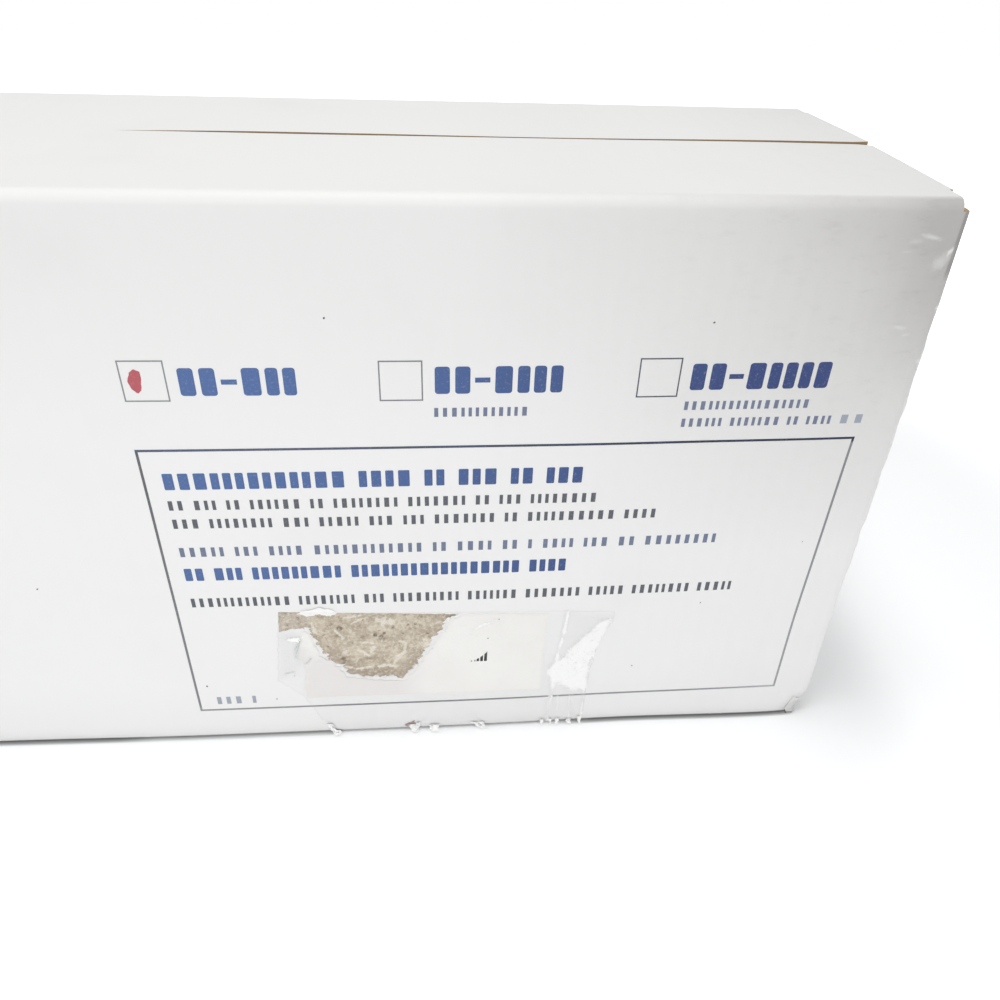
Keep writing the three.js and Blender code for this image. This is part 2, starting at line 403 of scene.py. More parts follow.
boardLook = {
    "white": screen(241, 241, 240),
    # the grey of grime and of painted shade
    "soiledAndShaded": screen(184, 182, 180),
    "soleGrimeAndShadow": (120, 116, 114),  # grime along the foot, and painted contact shadow where it meets the floor
    # painted shade along the head of the right edge
    "edgeShade": (136, 134, 133),
    "rubbed": (246, 246, 245),
    "flutePitch": 6.5,
    "front": (-61, -64),  # y over which the front panel's own wear fades in
    # each pair below is where a fade starts and ends, in x and in z; a number is its strength
    "handledAndShaded": ((20, 200), (84, 198), 0.77, 0.2),
    "darker": [((142, 172), (140, 184), 0.27), ((105, 145), (182, 200), 0.06)],
    "shaded": ((50, 120), (120, 200), 0.15),
    # darker towards the foot: painted shade low on the panel, and grime smears near the bottom
    "foot": ((36, 2), 0.07, (8, 0), 0.2),
    "crushed": ((17, 5), 0.7),  # by distance from the corner
    "edgeShadeBand": ((168.9, 169.6), (182, 187), 0.7),
    "rubbedEdge": ((170.2, 172.4), (185, 180)),
    "patchy": (0.5, 0.8),  # a smear or a cloud shows where its grain is between these
    "clouded": 0.05,
    "handledAndShadedElsewhere": 0.35,  # share of the handling grime and painted shade that the other panels have too
    "shadeSpared": 0.8,
    "crushSmear": 6,
    "soleReach": (1.1, 0.4),
    "frayFrom": (0.42, 0.54),
    "frayBy": 1.2,
    "scuffEdge": (1.2, 0.1),
    "roughness": 0.5,
    "roughGrain": 0.16,
    "fluteRise": 0.5,
    "mottleRise": 0.22,
    "relief": 0.05,
    "specksFrom": (0.68, 0.74),
    "edgeRelief": 0.6,
    # scale, detail and roughness of each grain
    "mottle": (0.9, 2.0, 0.6),
    "cloud": (0.02, 3.0, 0.55),
    "smears": (0.14, 4.0, 0.7),
    "fray": (0.7, 4.0, 0.7),
    "fibres": (0.5, 5.0, 0.65),
    "specks": (1.4, 2.0, 0.5),
    "edgeFibres": (2.5, 3.0, 0.6),
    # scuffs near the head of the right edge: middle in x and z, length, breadth, slope, strength
    "marks": [
        (161.8, 195.6, 3.6, 0.9, -12, 0.4), (157.4, 194.4, 2.6, 0.8, 8, 0.16),
        (155.6, 191.4, 2.2, 0.5, 0, 0.14), (168.8, 191.8, 1.8, 0.9, 60, 0.6),
        (166.8, 188.8, 4.0, 2.4, 48, 0.32), (160.6, 168.6, 2.6, 0.8, -10, 0.3),
        (163.4, 166.2, 1.6, 0.5, 10, 0.2), (170.6, 174.6, 1.0, 0.8, 80, 0.6),
        (170.6, 157.4, 0.9, 1.3, 90, 0.5),
    ],
    "kraft": screen(190, 165, 130),
    "kraftDark": screen(160, 134, 102),
    "kraftSpeck": (110, 88, 64),
    "hollow": screen(74, 58, 42),  # painted shade between the flutes, at a cut edge
    "fluteSwing": 0.36,  # as a share of the board's thickness, as the two below are
    "flutePaper": (0.16, 0.1),
    "liner": (0.38, 0.42),
}


def scuff(paint, frayed, x, z, length, breadth, slope, strength):
    # a soft oval streak on the front panel, with a frayed outline
    spot = paint.node("ShaderNodeVectorRotate", {"rotation_type": "Y_AXIS"}, {
        "Vector": paint.vectors("SUBTRACT", paint.place, (x, 0, z)), "Angle": math.radians(slope)})
    spot = paint.vectors("MULTIPLY", spot, (1 / length, 0, 1 / breadth))
    reach = paint.vectors("LENGTH", spot, output="Value")
    return paint.step(reach + frayed, *boardLook["scuffEdge"]) * strength


def whiteBoard():
    paint = Paint("whiteBoard", {"Specular IOR Level": 0.42})
    u = paint.node("ShaderNodeSeparateXYZ", None, {0: paint.node("ShaderNodeUVMap", {"uv_map": "sheet"})})
    flutes = paint.wave(u, boardLook["flutePitch"])
    mottle = paint.grain(*boardLook["mottle"])
    cloud = paint.grain(*boardLook["cloud"])
    smears = paint.grain(*boardLook["smears"], stretch=(1, 1, 2.2))
    onFront = paint.step(paint.y, *boardLook["front"])
    # the head of the panel's right end is darker: grime from handling, and painted shade where the light
    # falls off towards the upper right
    along, up, even, smeared = boardLook["handledAndShaded"]
    elsewhere = boardLook["handledAndShadedElsewhere"]
    shared = elsewhere + onFront * (1 - elsewhere)
    handledAndShaded = paint.step(paint.x, *along) * paint.rise(paint.z, *up) * shared
    soilAndShade = handledAndShaded * even + handledAndShaded * paint.step(smears, *boardLook["patchy"]) * smeared
    soilAndShade = soilAndShade + paint.step(cloud, *boardLook["patchy"]) * boardLook["clouded"]
    # painted shade: darker towards the upper right corner of the front panel
    for along, up, strength in boardLook["darker"]:
        soilAndShade = soilAndShade + paint.step(paint.x, *along) * paint.step(paint.z, *up) * onFront * strength
    # painted shade: darker towards the head, less so at the right end
    along, up, strength = boardLook["shaded"]
    spared = paint.step(paint.x, *along) * boardLook["shadeSpared"]
    soilAndShade = soilAndShade + paint.step(paint.z, *up) * (1 - spared) * strength
    # painted shade: darker towards the foot; the smears near the bottom are grime
    up, strength, splashed, smeared = boardLook["foot"]
    soilAndShade = soilAndShade + paint.step(paint.z, *up) * strength + paint.step(paint.z, *splashed) * smears * smeared
    corner = paint.vectors("DISTANCE", paint.place, (halfLength, -halfDepth, 0), "Value")
    reach, strength = boardLook["crushed"]
    soilAndShade = soilAndShade + paint.step(corner + smears * boardLook["crushSmear"], *reach) * strength
    base = paint.blended(soilAndShade, boardLook["white"], boardLook["soiledAndShaded"])
    # a dark band along the foot: grime, and painted contact shadow where the carton meets the floor
    grimeAndContactShadow = paint.step(paint.z, *boardLook["soleReach"]) * (0.4 + smears)
    base = paint.over(base, grimeAndContactShadow, boardLook["soleGrimeAndShadow"])
    # painted shade darkens the head of the right edge, where the board turns away from the light, and
    # below that it is rubbed pale
    along, up, strength = boardLook["edgeShadeBand"]
    edgeShade = paint.step(paint.x, *along) * paint.step(paint.z, *up) * onFront
    base = paint.over(base, edgeShade * strength, boardLook["edgeShade"])
    fray = paint.grain(*boardLook["fray"])
    along, up = boardLook["rubbedEdge"]
    rubbed = paint.step(paint.x, *along) * paint.step(paint.z, *up) * onFront
    rubbed = rubbed * paint.step(fray, *boardLook["frayFrom"])
    frayed = (fray - 0.5) * boardLook["frayBy"]
    for mark in boardLook["marks"]:
        rubbed = rubbed + scuff(paint, frayed, *mark) * onFront
    paint.feed("Base Color", paint.over(base, rubbed, boardLook["rubbed"]))
    paint.feed("Roughness", boardLook["roughness"] + mottle * boardLook["roughGrain"])
    rise = flutes * boardLook["fluteRise"] + mottle * boardLook["mottleRise"]
    paint.relief(rise, boardLook["relief"])
    return paint


def kraftBoard():
    paint = Paint("kraftBoard", {"Roughness": 0.85, "Specular IOR Level": 0.25})
    fibres = paint.grain(*boardLook["fibres"], stretch=(2.5, 1, 0.4))
    specks = paint.step(paint.grain(*boardLook["specks"]), *boardLook["specksFrom"])
    base = paint.blended(fibres, boardLook["kraftDark"], boardLook["kraft"])
    paint.feed("Base Color", paint.over(base, specks * 0.5, boardLook["kraftSpeck"]))
    paint.relief(fibres, boardLook["relief"])
    return paint


def cutEdge(name, axis, low):
    # a level cut edge shows the two liners and the fluted paper between them, with painted shade in the
    # hollows between the flutes
    paint = Paint(name, {"Roughness": 0.9, "Specular IOR Level": 0.2})
    along, through = (paint.x, paint.y)[axis], paint.z
    middle = (through - low) / boardThick - 0.5
    swing = paint.wave(along, boardLook["flutePitch"]) * boardLook["fluteSwing"]
    flute = paint.step(abs(middle - swing), *boardLook["flutePaper"])
    liner = paint.step(abs(middle), *boardLook["liner"])
    paper = flute.maths("MAXIMUM", flute, liner)
    fibres = paint.grain(*boardLook["edgeFibres"])
    lit = paint.blended(fibres, boardLook["kraftDark"], boardLook["kraft"])
    paint.feed("Base Color", paint.blended(paper, boardLook["hollow"], lit))
    paint.relief(paper, boardLook["edgeRelief"])
    return paint


white = whiteBoard()
kraft = kraftBoard()
edgeAlongX = cutEdge("boardEdgeX", 0, flapLow.z)
edgeAlongY = cutEdge("boardEdgeY", 1, wallTop - boardThick)


def sheetMap(bm):
    # u runs across the flutes, in millimetres: X on the long panels, Y on the ends
    layer = bm.loops.layers.uv.new("sheet")
    for face in bm.faces:
        onEnd = abs(face.normal.x) > 0.75
        for loop in face.loops:
            co = loop.vert.co
            loop[layer].uv = (co.y, co.z) if onEnd else (co.x, co.z + co.y)


# carton: four walls, the lower flaps and the two tucked upper flaps

carton = {
    "fold": 3.4,  # outside radius of a fold, just more than the board's thickness
    "foldSteps": 4,
    "foot": 7,  # height below which the walls fold into the lower flaps
    "shoulder": 196,  # height at which the long walls pass into their flap folds
    "tuckReach": halfDepth,  # the short flaps are as long as half the carton's depth
    "tuckRelief": 4,  # from the carton's outside to a tucked flap's side
    "seam": 0.5,
    "slack": 0.2,  # air between flaps that lie on each other
    "notch": 0.9,  # slit between a flap's fold and the corner beside it
    "flapEnd": 1.2,  # a lower flap stops this far short of the end walls' outside
    "flapSteps": 8,
    "pressed": 4.5,  # a round fold is 2, and a sharp one much more
    "cornerFoot": 0.3,
    "paleSlit": (6, 8),  # how near the corner, and how high, the slits at the foot are worn pale
    "mesh": 5,
}


def squareness(turn):
    # how much further out than a round fold a pressed one stands, at an angle into the fold
    power = carton["pressed"]
    return (abs(math.cos(turn)) ** power + abs(math.sin(turn)) ** power) ** (-1 / power)


def pressFolds(mesh):
    # gives the outside of the upright folds and of the long lower folds a sharper corner
    fold = carton["fold"]
    for index in {v for f in mesh.polygons if f.material_index == 0 for v in f.vertices}:
        spot = mesh.vertices[index].co
        x, y, z = spot / mm
        across, out = abs(x) - halfLength + fold, abs(y) - halfDepth + fold
        down = fold - z
        if across > 0.01 and out > 0.01:
            grow = squareness(math.atan2(across, out)) - 1
            spot.x += math.copysign(across * grow, x) * mm
            spot.y += math.copysign(out * grow, y) * mm
        elif out > 0.01 and down > 0.01:
            grow = squareness(math.atan2(down, out)) - 1
            spot.y += math.copysign(out * grow, y) * mm
            spot.z -= down * grow * mm
    near, top = carton["paleSlit"]
    for face in mesh.polygons:
        middle = face.center / mm
        if abs(middle.x) > halfLength - near and abs(middle.y) > halfDepth - near and middle.z < top:
            face.material_index = 0


def makeCartonWalls():
    fold, steps, flapSteps = carton["fold"], carton["foldSteps"], carton["flapSteps"]
    low, high = carton["foot"], carton["shoulder"]
    bm = bmesh.new()
    bmesh.ops.create_cube(bm, size=1, matrix=sized(
        2 * halfLength, 2 * halfDepth, high - low, (0, 0, (low + high) / 2)))
    lids = [f for f in bm.faces if abs(f.normal.z) > 0.5]
    bmesh.ops.delete(bm, geom=lids, context="FACES")
    uprights = [e for e in bm.edges if abs(e.verts[0].co.z - e.verts[1].co.z) > 1]
    bmesh.ops.bevel(
        bm, geom=uprights, offset=fold, segments=steps, profile=0.5, affect="EDGES", material=-1)
    tuckSide = halfDepth - carton["tuckRelief"]
    for side in (-tuckSide, tuckSide):
        bmesh.ops.bisect_plane(
            bm, geom=everything(bm), plane_co=(0, side, 0), plane_no=(0, 1, 0), dist=1e-5)

    def rim(height, chosen):
        return [
            e for e in bm.edges
            if all(abs(v.co.z - height) < 1e-3 for v in e.verts)
            and chosen((e.verts[0].co + e.verts[1].co) / 2)]

    def onTuck(middle):
        return abs(middle.x) > halfLength - 0.01 and abs(middle.y) < tuckSide

    def onLong(middle):
        return abs(middle.y) > halfDepth - 0.01

    def onCorner(middle):
        return not onTuck(middle) and not onLong(middle)

    # the long walls fold under as the lower flaps that meet in the middle
    for side in (-1, 1):
        wall = rim(low, lambda middle: onLong(middle) and middle.y * side > 0)
        under = [Vector((0, 0, fold - low))]
        under += [Vector((0, side * a, b)) for a, b in bend(fold, 0, -math.pi / 2, steps)]
        folded = drawOut(bm, wall, under, (1 - carton["notch"] / halfLength, 1, 1))
        half = max(v.co.x for e in folded for v in e.verts)
        reach = (halfDepth - fold - carton["seam"]) / flapSteps
        drawOut(bm, folded, [Vector((0, -side * reach, 0))] * flapSteps, (
            (halfLength - carton["flapEnd"]) / half, 1, 1))
    # the end walls fold in at the foot and at the head
    for side in (-1, 1):
        for height, drop, turn in (
            (low, fold + boardThick + carton["slack"] - low, -math.pi / 2),
            (high, wallTop - fold - high, math.pi / 2),
        ):
            wall = rim(height, lambda middle: onTuck(middle) and middle.x * side > 0)
            over = [Vector((0, 0, drop))]
            over += [Vector((side * a, 0, b)) for a, b in bend(fold, 0, turn, steps)]
            over += [Vector((-side * (carton["tuckReach"] - fold) / flapSteps, 0, 0))] * flapSteps
            drawOut(bm, wall, over, (1, 1 - carton["notch"] / tuckSide, 1))
    # the corners run straight down beside the lower flaps and up past the tucked ones
    drawOut(bm, rim(low, onCorner), [Vector((0, 0, carton["cornerFoot"] - low))])
    drawOut(bm, rim(high, onCorner), [Vector((0, 0, wallTop - high))])

    every = carton["mesh"]
    cutAcross(bm, 0, -halfLength, halfLength, every)
    cutAcross(bm, 1, -halfDepth + fold, halfDepth - fold, every)
    cutAcross(bm, 2, low, high, every)
    bmesh.ops.remove_doubles(bm, verts=bm.verts, dist=1e-3)
    bmesh.ops.recalc_face_normals(bm, faces=bm.faces)
    sheetMap(bm)
    piece = finished(
        "cartonWalls", bm, [white, kraft, edgeAlongY], "carton", ["carton"])
    thicken(piece, boardThick, 1, 2)
    pressFolds(piece.data)
    for v in piece.data.vertices:
        v.co = settled(v.co / mm) * mm
    return piece


cartonWalls = makeCartonWalls()
print("carton walls made")


# long upper flaps, and the folds that join them to their walls

flap = {
    "foldEnd": 10,  # the fold piece reaches this far onto the flap
    "sideGap": 1.5,  # the flap is this much shorter than the carton at each end
    "lift": 0.7,  # how far the middle of the free edge stands up
    "cornerCut": 1.2,  # the free corners are this much shorter
    "mesh": 5,
    "rows": 12,
    "foldSegments": 8,
    "foldSlot": 2.6,  # the fold piece is this much shorter than the carton at each end
}


def mirrored(bm, side):
    if side > 0:
        bmesh.ops.rotate(bm, verts=bm.verts, matrix=Matrix.Rotation(math.pi, 3, "Z"))


def makeFlap(name, side, body, node):
    bm = bmesh.new()
    near = -halfDepth + flap["foldEnd"]
    far = -carton["seam"]
    half = halfLength - flap["sideGap"]
    bmesh.ops.create_grid(
        bm, x_segments=round(2 * half / flap["mesh"]), y_segments=flap["rows"], size=1,
        matrix=sized(half, (far - near) / 2, 1, (0, (near + far) / 2, topZ)))
    corners = [v for v in bm.verts if abs(v.co.x) > half - 1e-3 and v.co.y > far - 1e-3]
    bmesh.ops.translate(bm, verts=corners, vec=(0, -flap["cornerCut"], 0))
    mirrored(bm, side)
    bmesh.ops.recalc_face_normals(bm, faces=bm.faces)
    if bm.faces[:][0].normal.z < 0:
        bmesh.ops.reverse_faces(bm, faces=bm.faces)
    sheetMap(bm)
    reach = halfDepth - flap["foldEnd"]
    for v in bm.verts:
        free = smooth((reach - abs(v.co.y)) / reach)
        uneven = noise.noise(Vector((v.co.x * 0.012, side * 4.0, 1.7)))
        v.co = settled(v.co) + Vector((0, 0, flap["lift"] * free * (0.7 + uneven)))
    piece = finished(name, bm, [white, kraft, edgeAlongX], body, [node])
    return thicken(piece, boardThick, 1, 2)


def makeFold(name, side):
    # a strip of board that turns the corner from the wall to the flap
    bm = bmesh.new()
    radius = carton["fold"]
    half = halfLength - flap["foldSlot"]
    chain = [bm.verts.new((-half, -halfDepth, carton["shoulder"]))]
    moves = [Vector((0, 0, (topZ - radius - carton["shoulder"]) / 3))] * 3
    moves += [Vector((0, a, b)) for a, b in bend(radius, math.pi, -math.pi / 2, flap["foldSegments"])]
    moves += [Vector((0, (flap["foldEnd"] - radius) / 4, 0))] * 4
    for move in moves:
        chain.append(bm.verts.new(chain[-1].co + move))
    edges = [bm.edges.new(pair) for pair in zip(chain, chain[1:])]
    steps = round(2 * half / flap["mesh"])
    bmesh.ops.spin(
        bm, geom=chain + edges, angle=0, steps=steps, axis=(0, 0, 1), cent=(0, 0, 0),
        dvec=(2 * half / steps, 0, 0))
    mirrored(bm, side)
    bmesh.ops.recalc_face_normals(bm, faces=bm.faces)
    middle = min(bm.faces, key=lambda f: f.calc_center_median().z)
    if middle.normal.y * side < 0:
        bmesh.ops.reverse_faces(bm, faces=bm.faces)
    sheetMap(bm)
    settle(bm)
    piece = finished(name, bm, [white, kraft, edgeAlongX], None)
    thicken(piece, boardThick, 1, 2)
    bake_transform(piece)
    return piece


makeFlap("flapFront", -1, "flap_front", "top_flap_front")
makeFlap("flapBack", 1, "flap_back", "top_flap_back")
makeFold("foldFront", -1)
makeFold("foldBack", 1)
print("flaps and folds made")


# print on the front panel: plain blocks stand where the lettering was

inkLook = {
    "left": -40,  # x at which an ink begins to pass into its second colour
    "right": 130,
    "bare": (222, 223, 227),  # where the board shows through
    "worn": 0.22,
    # the frame's ink is thin below its top line: how thin there, towards the foot and to the right
    "topLine": (129.6, 128.6),
    "thin": 0.06,
    "thinFoot": ((115, 40), 0.14),
    "thinRight": ((120, 156), 0.18),
    "footLine": ((18, 16.8), 0.1),
    "taped": ((-20, -18), (66, 44)),  # tape has kept the foot line dark here
    "sides": (84, 83, 88),
}


def ink(name, left, right=None, frame=False):
    # ink lies unevenly on the ridges of the board
    paint = Paint(name, {"Roughness": 0.5, "Specular IOR Level": 0.35})
    # painted shade: an ink with a second colour passes into it towards the right, where less light falls
    along = paint.step(paint.x, inkLook["left"], inkLook["right"])
    base = paint.blended(along, screen(*left), screen(*(right or left)))
    worn = paint.step(paint.grain(1.1, 4.0, 0.7), 0.52, 0.8) * inkLook["worn"]
    if frame:
        sides = paint.step(paint.z, *inkLook["topLine"])
        low, lowThin = inkLook["thinFoot"]
        far, farThin = inkLook["thinRight"]
        thin = inkLook["thin"] + paint.rise(paint.z, *low) * lowThin + paint.step(paint.x, *far) * farThin
        worn = worn + thin * sides
        base = paint.over(base, sides, inkLook["sides"])
        foot, footThin = inkLook["footLine"]
        taped = paint.step(paint.x, *inkLook["taped"][0]) * paint.step(paint.x, *inkLook["taped"][1])
        worn = worn + paint.step(paint.z, *foot) * (1 - taped) * footThin
    paint.feed("Base Color", paint.over(base, worn, inkLook["bare"]))
    return paint


# each ink with its colour at the left end of the panel, and at the right end where that differs; the
# darker right end is painted shade
blueInk = ink("blueInk", (78, 106, 158), (48, 66, 118))
darkInk = ink("darkInk", (92, 94, 102))
slateInk = ink("slateInk", (112, 122, 146))
faintInk = ink("faintInk", (160, 166, 178))
lineInk = ink("lineInk", (138, 138, 145), (68, 72, 82))
blackInk = ink("blackInk", (34, 33, 34))
frameInk = ink("frameInk", (84, 90, 112), (34, 42, 66), frame=True)
redInk = ink("redMarker", (182, 90, 98), (160, 74, 84))
dirt = ink("dirt", (88, 78, 70))
scrapInk = ink("scrapInk", (176, 152, 152), (150, 126, 126))

printing = {
    "raise": 0.05,  # ink stands this far off the board
    "body": 0.05,  # and reaches this far into it
    "frame": (-67.7, 157.6, 15.1, 131.0),
    "frameLine": 0.82,
    "frameSkew": (1.2, 0.7),  # how far its lower right corner is printed off square
    "skewFrom": 90,
    "tickLine": 0.42,
    "tickBoxes": [(-66.8, -54.0, 147.2, 160.2), (5.9, 18.7, 146.8, 159.8), (83.0, 95.9, 146.8, 159.8)],
    # share of its pitch that a block fills, its height, and the rounding of its corners
    "codeBlock": (0.74, 1.0, 0.9),
    "boldBlock": (0.68, 0.96, 0.35),
    "lightBlock": (0.46, 0.82, 0.0),
    "widths": (0.82, 1.0, 1.0, 1.15),
    "space": 0.7,  # between words, as a share of a block's pitch
    "dashSpace": 0.95,
    "dash": (0.1, 0.85, 0.8),  # start and end of a dash in that space, and half its height
    "splitEvery": 12,
    # low X, high X, foot, head, letters in each word
    "codes": [
        (-51.5, -17.1, 149.0, 157.8, (2, 3)),
        (21.4, 60.8, 149.0, 157.8, (2, 4)),
        (98.6, 143.8, 149.0, 157.8, (2, 5)),
    ],
    "bold": [
        (-62.3, 69.8, 116.1, 122.4, (13, 4, 2, 3, 2, 3)),
        (-62.3, 67.1, 79.2, 84.7, (2, 3, 9, 17, 4)),
    ],
    "dark": [
        (-62.5, 75.2, 108.0, 112.4, (2, 3, 2, 6, 2, 8, 7, 2, 3, 8)),
        (-62.5, 96.1, 100.8, 105.2, (3, 8, 3, 5, 3, 3, 7, 2, 10, 4)),
        (-62.5, 128.7, 67.0, 71.8, (13, 8, 3, 9, 7, 7, 5, 8, 5)),
    ],
    "slate": [
        (-62.5, 119.0, 89.2, 93.8, (5, 3, 4, 12, 2, 4, 2, 1, 4, 3, 2, 8)),
        (21.2, 50.7, 140.9, 144.6, (12,)),
        (98.1, 139.3, 141.8, 145.4, (17,)),
        (98.1, 148.0, 135.8, 139.4, (6, 7, 2, 4)),
    ],
    "faint": [
        (149.6, 159.3, 135.8, 139.6, (2,)),
        (-61.6, -45.7, 18.2, 22.8, (3, 1)),
    ],
}


def block(bm, lowX, highX, lowZ, highZ, rounding=0.0):
    # a flat block of ink, split along its length so that it follows the panel
    depth = printing["raise"] + printing["body"]
    middle = ((lowX + highX) / 2, (printing["body"] - printing["raise"]) / 2, (lowZ + highZ) / 2)
    part = bmesh.new()
    bmesh.ops.create_cube(part, size=1, matrix=sized(highX - lowX, depth, highZ - lowZ, middle))
    if rounding:
        rims = [e for e in part.edges if abs(e.verts[0].co.y - e.verts[1].co.y) > depth / 2]
        bmesh.ops.bevel(
            part, geom=rims, offset=rounding, segments=3, profile=0.5, affect="EDGES", material=-1)
    cutAcross(part, 0, lowX, highX, printing["splitEvery"])
    cutAcross(part, 2, lowZ, highZ, printing["splitEvery"])
    add(bm, part)


def add(bm, part):
    # joins a small bmesh to a larger one
    spare = bpy.data.meshes.new("spare")
    part.to_mesh(spare)
    part.free()
    bm.from_mesh(spare)
    bpy.data.meshes.remove(spare)


def outline(bm, lowX, highX, lowZ, highZ, line):
    block(bm, lowX, highX, lowZ, lowZ + line)
    block(bm, lowX, highX, highZ - line, highZ)
    block(bm, lowX, lowX + line, lowZ + line, highZ - line)
    block(bm, highX - line, highX, lowZ + line, highZ - line)


def wordBlocks(bm, line, fill, height, rounding, dashed=False):
    # each word is a run of upright blocks of uneven width, with no letter among them
    lowX, highX, foot, head, words = line
    rng = random.Random(7)
    widths = [[rng.choice(printing["widths"]) for _ in range(count)] for count in words]
    space = printing["dashSpace"] if dashed else printing["space"]
    total = sum(map(sum, widths)) + space * (len(words) - 1)
    unit = (highX - lowX) / total
    trim = (head - foot) * (1 - height) / 2
    x = lowX
    for index, word in enumerate(widths):
        if index and dashed:
            start, end, half = printing["dash"]
            middle = (foot + head) / 2
            block(bm, x + start * unit, x + end * unit, middle - half, middle + half)
        if index:
            x += space * unit
        for width in word:
            gap = unit * width * (1 - fill) / 2
            block(bm, x + gap, x + width * unit - gap, foot + trim, head - trim, rounding)
            x += width * unit


def printPiece(name, paint, draw):
    bm = bmesh.new()
    draw(bm)
    drape(bm)
    return finished(name, bm, [paint], "carton")


def drawLines(kind, look, dashed=False):
    def draw(bm):
        for line in printing[kind]:
            wordBlocks(bm, line, *printing[look], dashed)
    return draw


def drawFrame(bm):
    lowX, highX, lowZ, highZ = printing["frame"]
    outline(bm, lowX, highX, lowZ, highZ, printing["frameLine"])
    inwards, upwards = printing["frameSkew"]
    start = printing["skewFrom"]
    for v in bm.verts:
        right, down = smooth((v.co.x - start) / (highX - start)), (highZ - v.co.z) / (highZ - lowZ)
        v.co.x -= inwards * down * (v.co.x > highX - 2)
        v.co.z += upwards * right * (v.co.z < lowZ + 2)


def drawTicks(bm):
    for tick in printing["tickBoxes"]:
        outline(bm, *tick, printing["tickLine"])


printPiece("printFrame", frameInk, drawFrame)
printPiece("printCodes", blueInk, drawLines("codes", "codeBlock", True))
printPiece("printBold", blueInk, drawLines("bold", "boldBlock"))
printPiece("printDark", darkInk, drawLines("dark", "lightBlock"))
printPiece("printSlate", slateInk, drawLines("slate", "lightBlock"))
printPiece("printFaint", faintInk, drawLines("faint", "lightBlock"))
printPiece("printTickBoxes", lineInk, drawTicks)
print("print laid on the front panel")


# worn places: the torn liner, what is left of the label, and the tape stuck over both

fringe = {"every": 0.45, "scale": 0.42, "rough": 0.7, "lacunarity": 2.1, "octaves": 5}


def fringed(corners, seed, every=fringe["every"]):
    # an outline on the panel, in x and z; each corner also gives how ragged its next side is
    edge = []
    for (x, z, rough), (nextX, nextZ, nextRough) in zip(corners, corners[1:] + corners[:1]):
        start, end = Vector((x, z)), Vector((nextX, nextZ))
        across = Vector((start.y - end.y, end.x - start.x)).normalized()
        steps = max(1, round((end - start).length / every))
        for i in range(steps):
            spot = start.lerp(end, i / steps)
            wander = noise.fractal(
                Vector((spot.x, seed, spot.y)) * fringe["scale"], fringe["rough"],
                fringe["lacunarity"], fringe["octaves"])
            edge.append(spot + across * wander * (rough + (nextRough - rough) * i / steps))
    return edge


def inside(edge, x, z):
    odd = False
    for a, b in zip(edge, edge[1:] + edge[:1]):
        if (a.y > z) != (b.y > z) and x < a.x + (b.x - a.x) * (z - a.y) / (b.y - a.y):
            odd = not odd
    return odd


def nearestOn(edge):
    # finds the nearest point of an outline
    tree = kdtree.KDTree(len(edge))
    for index, spot in enumerate(edge):
        tree.insert((spot.x, 0, spot.y), index)
    tree.balance()
    return tree


def patch(edge, step):
    # a fine sheet on y = 0 that fills an outline, and a layer with each point's distance to its rim
    tree = nearestOn(edge)
    lowX, highX = min(spot.x for spot in edge), max(spot.x for spot in edge)
    lowZ, highZ = min(spot.y for spot in edge), max(spot.y for spot in edge)
    bm = bmesh.new()
    middle = Matrix.Translation(((lowX + highX) / 2, 0, (lowZ + highZ) / 2))
    bmesh.ops.create_grid(
        bm, x_segments=round((highX - lowX) / step), y_segments=round((highZ - lowZ) / step), size=1,
        matrix=middle @ Matrix.Rotation(math.pi / 2, 4, "X") @ sized(
            (highX - lowX) / 2, (highZ - lowZ) / 2, 1))
    spare = [f for f in bm.faces if not inside(edge, *f.calc_center_median().xz)]
    while spare:
        bmesh.ops.delete(bm, geom=spare, context="FACES")
        pinched = [v for v in bm.verts if sum(e.is_boundary for e in v.link_edges) > 2]
        spare = list({f for v in pinched for f in v.link_faces})
    for v in bm.verts:
        if v.is_boundary:
            v.co = tree.find(v.co)[0]
    bmesh.ops.dissolve_degenerate(bm, edges=bm.edges, dist=0.02)
    rim = bm.verts.layers.float.new("rim")
    for v in bm.verts:
        v[rim] = 0 if v.is_boundary else tree.find(v.co)[2]
    return bm, rim


def nearLine(x, z, line):
    # distance to the stretch between two points
    start, end = Vector(line[:2]), Vector(line[2:4])
    share = (Vector((x, z)) - start).dot(end - start) / (end - start).length_squared
    return (Vector((x, z)) - start.lerp(end, min(1.0, max(0.0, share)))).length


dab = {
    "outline": [
        (-63.9, 156.5, 0.25), (-62.5, 157.4, 0.25), (-61, 156.6, 0.3), (-60.8, 155, 0.3),
        (-61.3, 152.8, 0.3), (-61.6, 150.8, 0.25), (-62.7, 149.6, 0.25), (-64.2, 151.4, 0.3),
        (-64.7, 153.8, 0.3),
    ],
    "every": 0.3,
    "step": 0.35,
    "raise": 0.04,
    "thick": 0.06,
}


def makeDab():
    # one stroke of a red marker
    bm, _ = patch(fringed(dab["outline"], 5.0, dab["every"]), dab["step"])
    drape(bm, dab["raise"])
    thicken(finished("redDab", bm, [redInk], "carton"), dab["thick"])


makeDab()

